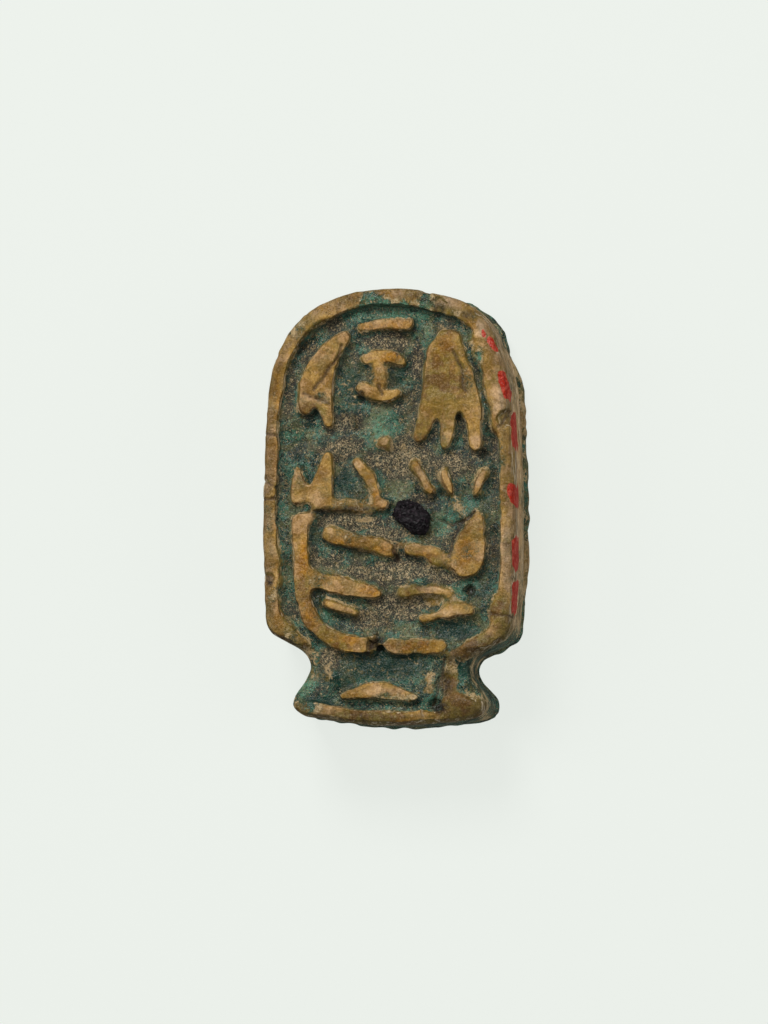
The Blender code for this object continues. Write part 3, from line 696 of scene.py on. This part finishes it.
# Painted shade and shadow: creases in the hollows and the lower sides of raised parts are darkened here, on
# top of the real dark stains and the cracks on the side.
dark = np.maximum(spots(net.points, DARK_STAINS_AND_SHADOW, 97, 0.1), 0.45 * patchy * crease * (1.0 - raised))
dark = np.maximum(dark, 0.6 * patchy * shadow_side * (1.0 - 0.6 * raised))
wall_lines = smooth_step(0.1, 0.02, np.abs(cloud(net.points * [1.0, 0.5, 1.0], 0.8, 99)))
wall_cracks = wall_lines * (1.0 - face_share) * smooth_step(0.0, 0.5, cloud(net.points, 1.7, 100))
dark = np.maximum(dark, 0.5 * wall_cracks)
store("dark", np.clip(dark, 0.0, 1.0))
store("cracks", crack_share(net.points))
store("on_side", 1.0 - face_share * smooth_step(0.5, 0.8, outward[:, 2]))
print("dark points", int((dark > 0.5).sum()))

# %% [markdown]
# ## Red ink on the right side
#
# A row of dabs of red ink sits on the right side and along the upper right edge. They could be
# thin bodies of their own, but ink has no thickness to speak of, so it is only a mask and a shine.
# Each dab is a short line as it appears from a little to the right, and it is rounded off above
# and below the edge, so that it stays a dab when it is looked at from the side.

# %% Ink dabs
INK_DABS = (
    (((3.72, 15.12), (3.78, 15.0)), 0.07),
    (((3.95, 14.75), (4.2, 14.48)), 0.11),
    (((4.42, 13.45), (4.66, 12.65)), 0.17),
    (((4.99, 11.85), (5.02, 10.8)), 0.21),
    (((4.88, 8.95), (4.96, 8.6)), 0.28),
    (((5.0, 7.05), (5.0, 6.15)), 0.2),
    (((5.0, 5.3), (4.99, 4.4)), 0.2),
)
INK_MIDDLE = 3.7
INK_HALF_HEIGHT = 1.3
SEEN_RIGHT = 0.14
SEEN_UP = 0.06

below_top = FACE_LEVEL - net.height
seen_right = net.points[:, 0] + SEEN_RIGHT * below_top + 0.04 * cloud(net.points, 0.3, 101)
seen_up = net.up - SEEN_UP * below_top + 0.14 * cloud(net.points, 0.35, 102)
from_middle = net.height + 0.25 * cloud(net.points, 0.5, 103) - INK_MIDDLE
roundness = 0.9 * (from_middle / INK_HALF_HEIGHT) ** 4
ink = np.zeros(net.count)
for line, half_width in INK_DABS:
    reach = line_distance(seen_right, seen_up, line) / half_width + roundness
    ink = np.maximum(ink, smooth_step(1.25, 0.8, reach))
store("red_ink", ink)
print("inked points", int((ink > 0.5).sum()))

# %% [markdown]
# ## The glazed stone as one material
#
# The real finish lies in layers, and the material mixes them from the bottom up: stone, with a brown
# film, which on slopes facing the foot is painted shade, and pale streaks on the side, which are a
# painted highlight; glaze with its crackle; dust; then a pale fringe, stains with painted shade in
# creases and below raised parts, cracks and ink. The masks say where each layer lies. Noise finer
# than the net comes from textures on the piece's own coordinates, scaled to millimetres. A painted
# image could show the same, but only from one side and with seams.

# %% A short way to write a node tree
def linear(red, green, blue):
    """A colour given in everyday 0 to 255 steps, as Blender's linear light."""
    channels = []
    for value in (red, green, blue):
        share = value / 255
        channels.append(share / 12.92 if share <= 0.04045 else ((share + 0.055) / 1.055) ** 2.4)
    return (*channels, 1.0)


def new_node(tree, kind, inputs=None, **settings):
    """A node with its settings made, and each input linked to a socket or set to a value."""
    node = tree.nodes.new(kind)
    for name, value in settings.items():
        setattr(node, name, value)
    for name, value in (inputs or {}).items():
        if isinstance(value, bpy.types.NodeSocket):
            tree.links.new(value, node.inputs[name])
        else:
            node.inputs[name].default_value = value
    return node


# %% A material with short words for its nodes
class Finish:
    """A material and short words for the nodes it needs."""

    def __init__(self, name):
        self.material = bpy.data.materials.new(name)
        self.material.use_nodes = True
        self.tree = self.material.node_tree
        self.shader = self.tree.nodes["Principled BSDF"]
        coordinates = self.node("ShaderNodeTexCoord").outputs["Object"]
        to_mm = self.node("ShaderNodeMapping", {"Vector": coordinates, "Scale": (1 / MM,) * 3})
        self.place = to_mm.outputs["Vector"]

    def node(self, kind, inputs=None, **settings):
        """A node in this material's tree."""
        return new_node(self.tree, kind, inputs, **settings)

    def mask(self, name):
        """One of the masks kept on the skin."""
        return self.node("ShaderNodeAttribute", attribute_name=name).outputs["Fac"]

    def masked(self, name, share):
        """A mask weakened by a share."""
        return self.times(self.mask(name), share)

    def noise(self, cell, detail=2.0, roughness=0.5, shift=0.0, stretch=1.0):
        """Noise with lumps about one cell wide, in millimetres, and longer up the piece if stretched."""
        squeeze = self.node("ShaderNodeMapping", {"Vector": self.place, "Scale": (1.0, 1.0 / stretch, 1.0)})
        inputs = {
            "Vector": squeeze.outputs["Vector"], "W": shift, "Scale": 1.0 / cell, "Detail": detail,
            "Roughness": roughness, "Distortion": 0.4}
        return self.node("ShaderNodeTexNoise", inputs, noise_dimensions="4D").outputs["Fac"]

    def crackle(self, cell):
        """Distance to the nearest border of a wavy cell pattern, in shares of one cell."""
        waves = self.node("ShaderNodeTexNoise", {"Vector": self.place, "Scale": 1.4 / cell})
        shifted = {0: waves.outputs["Color"], 1: (1.2 * cell,) * 3, 2: self.place}
        bent = self.node("ShaderNodeVectorMath", shifted, operation="MULTIPLY_ADD")
        cells = {"Vector": bent.outputs["Vector"], "Scale": 1 / cell}
        return self.node("ShaderNodeTexVoronoi", cells, feature="DISTANCE_TO_EDGE").outputs["Distance"]

    def step(self, value, low, high, start=0.0, end=1.0):
        """A soft switch between two numbers while a value goes from low to high."""
        inputs = {"Value": value, "From Min": low, "From Max": high, "To Min": start, "To Max": end}
        return self.node("ShaderNodeMapRange", inputs, interpolation_type="SMOOTHSTEP").outputs["Result"]

    def patches(self, cell, detail, roughness, shift, low, high, start=0.0, end=1.0):
        """Soft-edged patches: noise pushed to two numbers on either side of a narrow band."""
        return self.step(self.noise(cell, detail, roughness, shift), low, high, start, end)

    def sum(self, first, second, operation="ADD"):
        """Two numbers put together by a sum, or by another operation."""
        return self.node("ShaderNodeMath", {0: first, 1: second}, operation=operation).outputs["Value"]

    def times(self, first, second):
        """Two numbers multiplied."""
        return self.sum(first, second, "MULTIPLY")

    def blend(self, share, first, second, kind="MIX"):
        """One colour passing into another."""
        inputs = {"Factor": share, "A": first, "B": second}
        return self.node("ShaderNodeMix", inputs, data_type="RGBA", blend_type=kind).outputs["Result"]

    def laid(self, ground, layers):
        """Colours laid over a ground in turn, each with its own share."""
        for share, colour in layers:
            ground = self.blend(share, ground, colour)
        return ground


# %% Stone colours
EDGE_TINT = (0.58, 0.62, 0.72, 1.0)

glazed = Finish("glazed_steatite")
fine_grain = glazed.noise(0.06, 2.0, 0.65)
tan_share = glazed.patches(0.9, 4.0, 0.6, 0.0, 0.43, 0.57)
ochre_share = glazed.masked("ochre", glazed.patches(0.45, 3.0, 0.6, 3.0, 0.38, 0.52, 0.75, 1.0))
ochre_tone = glazed.patches(0.3, 3.0, 0.6, 5.0, 0.46, 0.58)
pink_share = glazed.masked("pinkish", glazed.patches(0.35, 3.0, 0.6, 6.0, 0.42, 0.55, 0.4, 0.95))
# This layer is the brown film and, on slopes that face the foot, painted shade.
film_and_shade_noise = glazed.sum(glazed.mask("film_and_slope_shade"), glazed.times(glazed.noise(0.5, 4.0, 0.7, 11.0), 1.4))
film_and_shade_tone = glazed.patches(0.6, 3.0, 0.6, 10.0, 0.44, 0.56)
film_and_shade_colour = glazed.blend(film_and_shade_tone, linear(96, 82, 24), linear(74, 48, 6))
# Painted highlight: pale streaks along the side stand in for thin highlights running along the wall.
painted_highlight_streaks = glazed.step(glazed.noise(0.14, 3.0, 0.6, 45.0, 7.0), 0.52, 0.6, 0.0, 0.7)
stone_colour = glazed.laid(glazed.blend(tan_share, linear(148, 114, 52), linear(114, 82, 28)), (
    (glazed.patches(0.6, 4.0, 0.65, 2.0, 0.48, 0.57, 0.0, 0.75), linear(158, 124, 82)),
    (glazed.patches(0.7, 4.0, 0.65, 4.0, 0.48, 0.64, 0.0, 0.7), linear(102, 84, 34)),
    (ochre_share, glazed.blend(ochre_tone, linear(114, 73, 0), linear(146, 99, 6))),
    (pink_share, linear(180, 148, 110)),
    # brown film, and painted shade on slopes facing the foot
    (glazed.step(film_and_shade_noise, 0.65, 1.35, 0.0, 0.8), film_and_shade_colour),
    (glazed.patches(0.28, 3.0, 0.65, 9.0, 0.51, 0.64, 0.0, 0.45), linear(82, 60, 18)),
    # painted highlight streaks on the side
    (glazed.masked("on_side", painted_highlight_streaks), linear(206, 186, 152)),
    (glazed.step(fine_grain, 0.52, 0.62, 0.0, 0.16), linear(200, 168, 116)),
    (glazed.step(fine_grain, 0.48, 0.38, 0.0, 0.22), linear(66, 44, 14)),
))
stone_colour = glazed.blend(glazed.masked("outer_edge", 0.8), stone_colour, EDGE_TINT, "MULTIPLY")
print("nodes for the stone", len(glazed.tree.nodes))

# %% Glaze colours
deep_noise = glazed.patches(0.5, 4.0, 0.7, 12.0, 0.43, 0.55, 0.0, 0.9)
pale_share = glazed.masked("pale_glaze", glazed.patches(0.25, 3.0, 0.6, 18.0, 0.4, 0.55, 0.4, 0.95))
crackle_lines = glazed.step(glazed.crackle(0.26), 0.0, 0.09, 1.0, 0.0)
crackle_share = glazed.times(crackle_lines, glazed.patches(0.5, 3.0, 0.6, 40.0, 0.42, 0.54, 0.0, 0.8))
crackle_tone = glazed.patches(0.8, 2.0, 0.5, 41.0, 0.47, 0.53)
deep_share = glazed.masked("deep_glaze", glazed.patches(0.25, 3.0, 0.6, 20.0, 0.4, 0.54, 0.8, 1.0))
glaze_colour = glazed.laid(glazed.blend(deep_noise, linear(54, 92, 76), linear(0, 32, 27)), (
    (glazed.patches(1.0, 3.0, 0.6, 15.0, 0.51, 0.6, 0.0, 0.7), linear(90, 90, 56)),
    (pale_share, linear(72, 114, 90)),
    (crackle_share, glazed.blend(crackle_tone, linear(118, 128, 100), linear(10, 22, 18))),
    (glazed.patches(0.09, 3.0, 0.7, 22.0, 0.49, 0.58, 0.0, 0.65), linear(8, 16, 14)),
    (glazed.times(deep_share, 0.9), linear(0, 32, 24)),
))

# %% Dust: dark ground with pale grains
dust_mask = glazed.mask("dust")
dust_cloud = glazed.sum(dust_mask, glazed.noise(0.25, 4.0, 0.75, 21.0))
dust_share = glazed.step(dust_cloud, 0.6, 1.15, 0.0, 0.85)
ground_colour = glazed.blend(glazed.step(fine_grain, 0.42, 0.58), linear(12, 11, 12), linear(52, 43, 35))
grain_noise = glazed.sum(glazed.noise(0.055, 2.0, 0.75, 23.0), glazed.times(dust_mask, 0.1))
grain_share = glazed.step(grain_noise, 0.56, 0.64, 0.0, 0.9)
grain_share = glazed.times(grain_share, glazed.step(glazed.mask("deep_glaze"), 0.2, 0.9, 1.0, 0.25))
grain_tone = glazed.patches(0.16, 2.0, 0.6, 25.0, 0.44, 0.56)
grain_colour = glazed.blend(grain_tone, linear(160, 142, 108), linear(98, 95, 74))
hollow_colour = glazed.laid(glaze_colour, ((dust_share, ground_colour), (grain_share, grain_colour)))

# %% The border between bare stone and hollows
bare_mask = glazed.mask("bare_stone")
edge_noise = glazed.sum(glazed.noise(0.25, 4.0, 0.7, 24.0), -0.5)
bare_edge = glazed.sum(bare_mask, glazed.times(edge_noise, 1.5))
ragged_edge = glazed.times(glazed.sum(glazed.noise(0.1, 3.0, 0.7, 28.0), -0.5), 1.6)
bare_edge = glazed.sum(bare_edge, glazed.times(ragged_edge, glazed.step(bare_mask, 0.75, 1.1, 1.0, 0.0)))
bare_share = glazed.step(bare_edge, 0.3, 1.05)
rim_tone = glazed.patches(0.3, 3.0, 0.6, 26.0, 0.43, 0.57)
rim_colour = glazed.blend(rim_tone, linear(90, 76, 34), linear(36, 48, 28))
fringe = glazed.times(glazed.step(bare_edge, 0.15, 0.4), glazed.step(bare_edge, 0.5, 0.75, 1.0, 0.0))
fringe = glazed.times(fringe, glazed.patches(0.5, 3.0, 0.6, 47.0, 0.47, 0.56, 0.0, 0.75))

# %% The layers put together
dark_noise = glazed.patches(0.18, 3.0, 0.6, 27.0, 0.4, 0.56, 0.5, 0.95)
ink_noise = glazed.times(glazed.noise(0.16, 3.0, 0.7, 30.0), 0.8)
ink_share = glazed.step(glazed.sum(glazed.mask("red_ink"), ink_noise), 0.65, 1.1)
ink_tone = glazed.patches(0.2, 3.0, 0.6, 31.0, 0.46, 0.62)
colour = glazed.laid(hollow_colour, (
    (glazed.step(bare_edge, 0.0, 0.5, 0.0, 0.85), rim_colour),
    (bare_share, stone_colour),
    (fringe, linear(164, 140, 102)),
    # dark layer: real stains, with painted shade in creases and painted shadow below raised parts
    (glazed.masked("dark", dark_noise), linear(24, 17, 10)),
    (glazed.masked("cracks", 0.7), linear(50, 34, 18)),
    (ink_share, glazed.blend(ink_tone, linear(136, 24, 0), linear(160, 64, 46))),
))

# %% Shine and fine relief
RELIEF_DEPTH = 0.1 * MM

dusty = glazed.times(dust_share, glazed.step(bare_share, 0.0, 1.0, 1.0, 0.0))
shine = glazed.step(bare_share, 0.0, 1.0, 0.22, 0.42)
for share, roughness in ((dusty, 0.6), (ink_share, 0.3), (glazed.mask("on_side"), 0.85)):
    shine = glazed.step(share, 0.0, 1.0, shine, roughness)
soft_height = glazed.times(glazed.noise(0.18, 3.0, 0.6, 33.0), 0.7)
fine_height = glazed.times(glazed.noise(0.07, 2.0, 0.7, 35.0), 0.35)
fine_height = glazed.times(fine_height, glazed.step(bare_share, 0.0, 1.0, 1.0, 0.4))
surface_height = glazed.sum(glazed.sum(soft_height, fine_height), glazed.times(grain_share, 0.2))
surface_height = glazed.times(surface_height, glazed.step(glazed.mask("on_side"), 0.0, 1.0, 1.0, 0.3))
bump = glazed.node("ShaderNodeBump", {"Strength": 1.0, "Distance": RELIEF_DEPTH, "Height": surface_height})

# %% Put the material on the stone
for name, value in (("Base Color", colour), ("Roughness", shine), ("Normal", bump.outputs["Normal"])):
    glazed.tree.links.new(value, glazed.shader.inputs[name])
glazed.shader.inputs["Specular IOR Level"].default_value = 0.21
skin.materials.clear()
skin.materials.append(glazed.material)
skin.shade_smooth()
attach(plaque, "root")
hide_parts("cartouche_plaque")
print("nodes for the glazed stone", len(glazed.tree.nodes))

# %% [markdown]
# ## The dark lump
#
# A dull black crumb of mineral sits in the field, angular and rough. It could be a painted spot,
# but the real one stands up and throws a small shadow. So it is a closed body of its own: the hull
# of a ring of corners at four levels, cut finer, shaken a little, and left with flat faces.

# %% The lump: corners of its ring, and for each level its rise, share of the ring and shake
LUMP_CORNERS = (
    (0.12, 8.13), (0.37, 8.66), (0.83, 8.72), (1.2, 8.52), (1.61, 8.11), (1.57, 7.57), (1.42, 7.33),
    (1.0, 7.33), (0.3, 7.92),
)
LUMP_LEVELS = ((-0.3, 0.9, 0.0), (0.12, 1.0, 0.03), (0.3, 0.8, 0.05), (0.38, 0.5, 0.05))
LUMP_CUTS = 6
LUMP_ROUGHNESS = 0.03

chance = np.random.default_rng(5)
build = bmesh.new()
for rise, share, shake in LUMP_LEVELS:
    for right, up in LUMP_CORNERS:
        shift = chance.uniform(-shake, shake, 3)
        place = Vector((
            LUMP_RIGHT + (right - LUMP_RIGHT) * share,
            LUMP_UP + (up - LUMP_UP) * share - LENGTH / 2,
            FIELD_LEVEL + rise)) + Vector(shift)
        build.verts.new(place * MM)
hull = bmesh.ops.convex_hull(build, input=build.verts)
inner = list({*hull["geom_interior"], *hull["geom_unused"]})
bmesh.ops.delete(build, geom=inner, context="VERTS")
bmesh.ops.triangulate(build, faces=build.faces)
bmesh.ops.subdivide_edges(build, edges=build.edges, cuts=LUMP_CUTS, use_grid_fill=True)
for corner in build.verts:
    corner.co += Vector(chance.uniform(-LUMP_ROUGHNESS, LUMP_ROUGHNESS, 3)) * MM
bmesh.ops.recalc_face_normals(build, faces=build.faces)
lump_mesh = bpy.data.meshes.new("dark_lump")
build.to_mesh(lump_mesh)
build.free()
print("lump", len(lump_mesh.polygons), "faces")

# %% Put the lump in its place
black = Finish("dark_mineral")
black_share = black.step(black.noise(0.09, 2.0, 0.6), 0.45, 0.7)
black_colour = black.blend(black_share, linear(5, 3, 5), linear(32, 22, 28))
black.tree.links.new(black_colour, black.shader.inputs["Base Color"])
black.shader.inputs["Roughness"].default_value = 0.55
black.shader.inputs["Specular IOR Level"].default_value = 0.16
lump_mesh.materials.append(black.material)
lump = linked_object("dark_lump", lump_mesh)
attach(lump, "root")

# %% [markdown]
# ## Grains of dust
#
# On the real stone the dust in the hollows is fine pale sand held fast in a brown film. The grains
# could be part of the material alone, but close up the sand has a body that catches the light. So
# each grain is a small ball of twenty faces, sunk by half. A Geometry Nodes tree strews them: it
# picks points on the skin where the dust mask is strong, puts a grain on each, turned and stretched
# at random, and makes real faces of them. The same seed gives the same grains each time.

# %% Tree that strews grains
GRAIN_INPUTS = {
    "Geometry": "NodeSocketGeometry", "Grains per mm2": "NodeSocketFloat",
    "Grain size": "NodeSocketFloat", "Seed": "NodeSocketInt"}


def grain_tree(look):
    """Geometry Nodes group: strew turned grains over a surface where its dust mask is strong."""
    tree = bpy.data.node_groups.new("strewn_grains", "GeometryNodeTree")
    for label, kind in GRAIN_INPUTS.items():
        tree.interface.new_socket(label, in_out="INPUT", socket_type=kind)
    tree.interface.new_socket("Geometry", in_out="OUTPUT", socket_type="NodeSocketGeometry")

    def node(kind, inputs=None, **settings):
        return new_node(tree, kind, inputs, **settings).outputs

    given = node("NodeGroupInput")
    mask = node("GeometryNodeInputNamedAttribute", {"Name": "dust"}, data_type="FLOAT")["Attribute"]
    dusty = node(
        "ShaderNodeMapRange", {"Value": mask, "From Min": 0.25, "From Max": 0.85},
        interpolation_type="SMOOTHSTEP")["Result"]
    to_metres = {0: given["Grains per mm2"], 1: 1 / MM ** 2}
    most = node("ShaderNodeMath", to_metres, operation="MULTIPLY")["Value"]
    density = node("ShaderNodeMath", {0: most, 1: dusty}, operation="MULTIPLY")["Value"]
    places = node("GeometryNodeDistributePointsOnFaces", {
        "Mesh": given["Geometry"], "Density": density, "Seed": given["Seed"]})["Points"]
    grain = node("GeometryNodeMeshIcoSphere", {"Radius": 0.5})["Mesh"]
    full_turn = {"Max": (math.tau,) * 3, "Seed": given["Seed"]}
    turn = node("FunctionNodeRandomValue", full_turn, data_type="FLOAT_VECTOR")["Value"]
    flattish = {"Min": (0.5, 0.5, 0.4), "Max": (1.3, 1.3, 0.9)}
    stretch = node("FunctionNodeRandomValue", flattish, data_type="FLOAT_VECTOR")["Value"]
    scaled = {"Vector": stretch, "Scale": given["Grain size"]}
    size = node("ShaderNodeVectorMath", scaled, operation="SCALE")["Vector"]
    strewn = node("GeometryNodeInstanceOnPoints", {
        "Points": places, "Instance": grain, "Rotation": turn, "Scale": size})["Instances"]
    tone = node("FunctionNodeRandomValue", data_type="FLOAT")[1]
    toned = node(
        "GeometryNodeStoreNamedAttribute", {"Geometry": strewn, "Name": "tone", "Value": tone},
        data_type="FLOAT", domain="INSTANCE")["Geometry"]
    real = node("GeometryNodeRealizeInstances", {"Geometry": toned})["Geometry"]
    painted = node("GeometryNodeSetMaterial", {"Geometry": real, "Material": look})["Geometry"]
    node("NodeGroupOutput", {"Geometry": painted})
    return tree


# %% Strew the grains
GRAINS_PER_MM2 = 70.0
GRAIN_SIZE = 0.05 * MM
GRAIN_SEED = 7
GRAIN_FACES = 20

sand = Finish("dust_sand")
sand_share = sand.step(sand.mask("tone"), 0.1, 0.9)
sand_colour = sand.blend(sand_share, linear(70, 62, 46), linear(156, 138, 108))
sand.tree.links.new(sand_colour, sand.shader.inputs["Base Color"])
sand.shader.inputs["Roughness"].default_value = 0.7
sand.shader.inputs["Specular IOR Level"].default_value = 0.2

grains = linked_object("dust_grains", skin.copy())
strew = grains.modifiers.new("strew grains", "NODES")
strew.node_group = grain_tree(sand.material)
choices = {"Grains per mm2": GRAINS_PER_MM2, "Grain size": GRAIN_SIZE, "Seed": GRAIN_SEED}
for item in strew.node_group.interface.items_tree:
    if item.in_out == "INPUT" and item.name in choices:
        strew[item.identifier] = choices[item.name]
grain_mesh = settled_mesh(grains, "dust_grains")
grains.modifiers.remove(strew)
grains.data = grain_mesh
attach(grains, "root")
print("grains", len(grain_mesh.polygons) // GRAIN_FACES, "with", len(grain_mesh.polygons), "faces")

# %% [markdown]
# ## Floor, camera and light
#
# The object was photographed from nearly straight above, on a pale ground that shows hardly any
# shadow. A grey floor lit by lamps would need strong light that also fills the carving. So the
# floor glows a little by itself, and the lamps can be weak and low enough to model the relief: a
# main soft box beyond the top of the plaque and two weak ones at its sides. The camera is far away
# with a long lens, leans a few degrees to the right and to the foot, and so sees a strip of the
# right side.

# %% Floor
FLOOR_HALF = 400 * MM

floor_mesh = bpy.data.meshes.new("pale_floor")
build = bmesh.new()
bmesh.ops.create_grid(build, x_segments=1, y_segments=1, size=FLOOR_HALF)
build.to_mesh(floor_mesh)
build.free()
floor = linked_object("pale_floor", floor_mesh)
floor_look = bpy.data.materials.new("pale_floor")
floor_look.use_nodes = True
floor_shader = floor_look.node_tree.nodes["Principled BSDF"]
for name, value in (
        ("Base Color", (0.07, 0.072, 0.07, 1.0)), ("Roughness", 0.9), ("Specular IOR Level", 0.0),
        ("Emission Color", linear(231, 236, 230)), ("Emission Strength", 0.92)):
    floor_shader.inputs[name].default_value = value
floor_mesh.materials.append(floor_look)
floor.visible_glossy = False
print("floor", round(2 * FLOOR_HALF / MM), "mm square")

# %% Camera
PHOTO_HEIGHT = 1024
PIXEL = 0.0388 * MM
LENS = 190.0
SENSOR = 36.0
CAMERA_DISTANCE = PIXEL * PHOTO_HEIGHT * LENS / SENSOR
LEAN_RIGHT = math.radians(8.0)
LEAN_TO_FOOT = math.radians(3.5)
AIM = Vector((-0.45, -0.1, 2.3)) * MM

camera_data = bpy.data.cameras.new("camera")
camera_data.lens = LENS
camera_data.sensor_width = SENSOR
camera_data.clip_start = 0.01
camera_data.clip_end = 10.0
camera = bpy.data.objects.new("camera", camera_data)


def facing(backward, up=Vector((0.0, 1.0, 0.0))):
    """Turn that makes a thing look against a direction, with its own up towards the given one."""
    right = up.cross(backward).normalized()
    return Matrix((right, backward.cross(right), backward)).transposed().to_euler()


# %% Point the camera
direction = Vector((math.tan(LEAN_RIGHT), -math.tan(LEAN_TO_FOOT), 1.0)).normalized()
camera.location = AIM + direction * CAMERA_DISTANCE
camera.rotation_euler = facing(direction)
bpy.context.scene.collection.objects.link(camera)
bpy.context.scene.camera = camera
print("camera", round(CAMERA_DISTANCE / MM), "mm away")

# %% Lights
world = bpy.data.worlds.new("studio")
world.use_nodes = True
sky = world.node_tree.nodes["Background"]
sky.inputs["Color"].default_value = (0.97, 0.99, 1.0, 1.0)
sky.inputs["Strength"].default_value = 0.22
bpy.context.scene.world = world
bpy.context.scene.view_settings.view_transform = "Standard"


def soft_light(name, place, size, power, colour):
    """A square soft box that looks at the plaque."""
    data = bpy.data.lights.new(name, "AREA")
    data.size = size
    data.energy = power
    data.color = colour
    box = bpy.data.objects.new(name, data)
    box.location = Vector(place)
    box.rotation_euler = Vector(place).to_track_quat("Z", "Y").to_euler()
    bpy.context.scene.collection.objects.link(box)


soft_light("top_box", (-0.05, 0.17, 0.215), 0.10, 0.9, (1.0, 0.99, 0.97))
soft_light("left_box", (-0.22, 0.02, 0.16), 0.12, 0.28, (1.0, 1.0, 1.0))
soft_light("right_box", (0.22, -0.02, 0.16), 0.12, 0.25, (1.0, 1.0, 1.0))
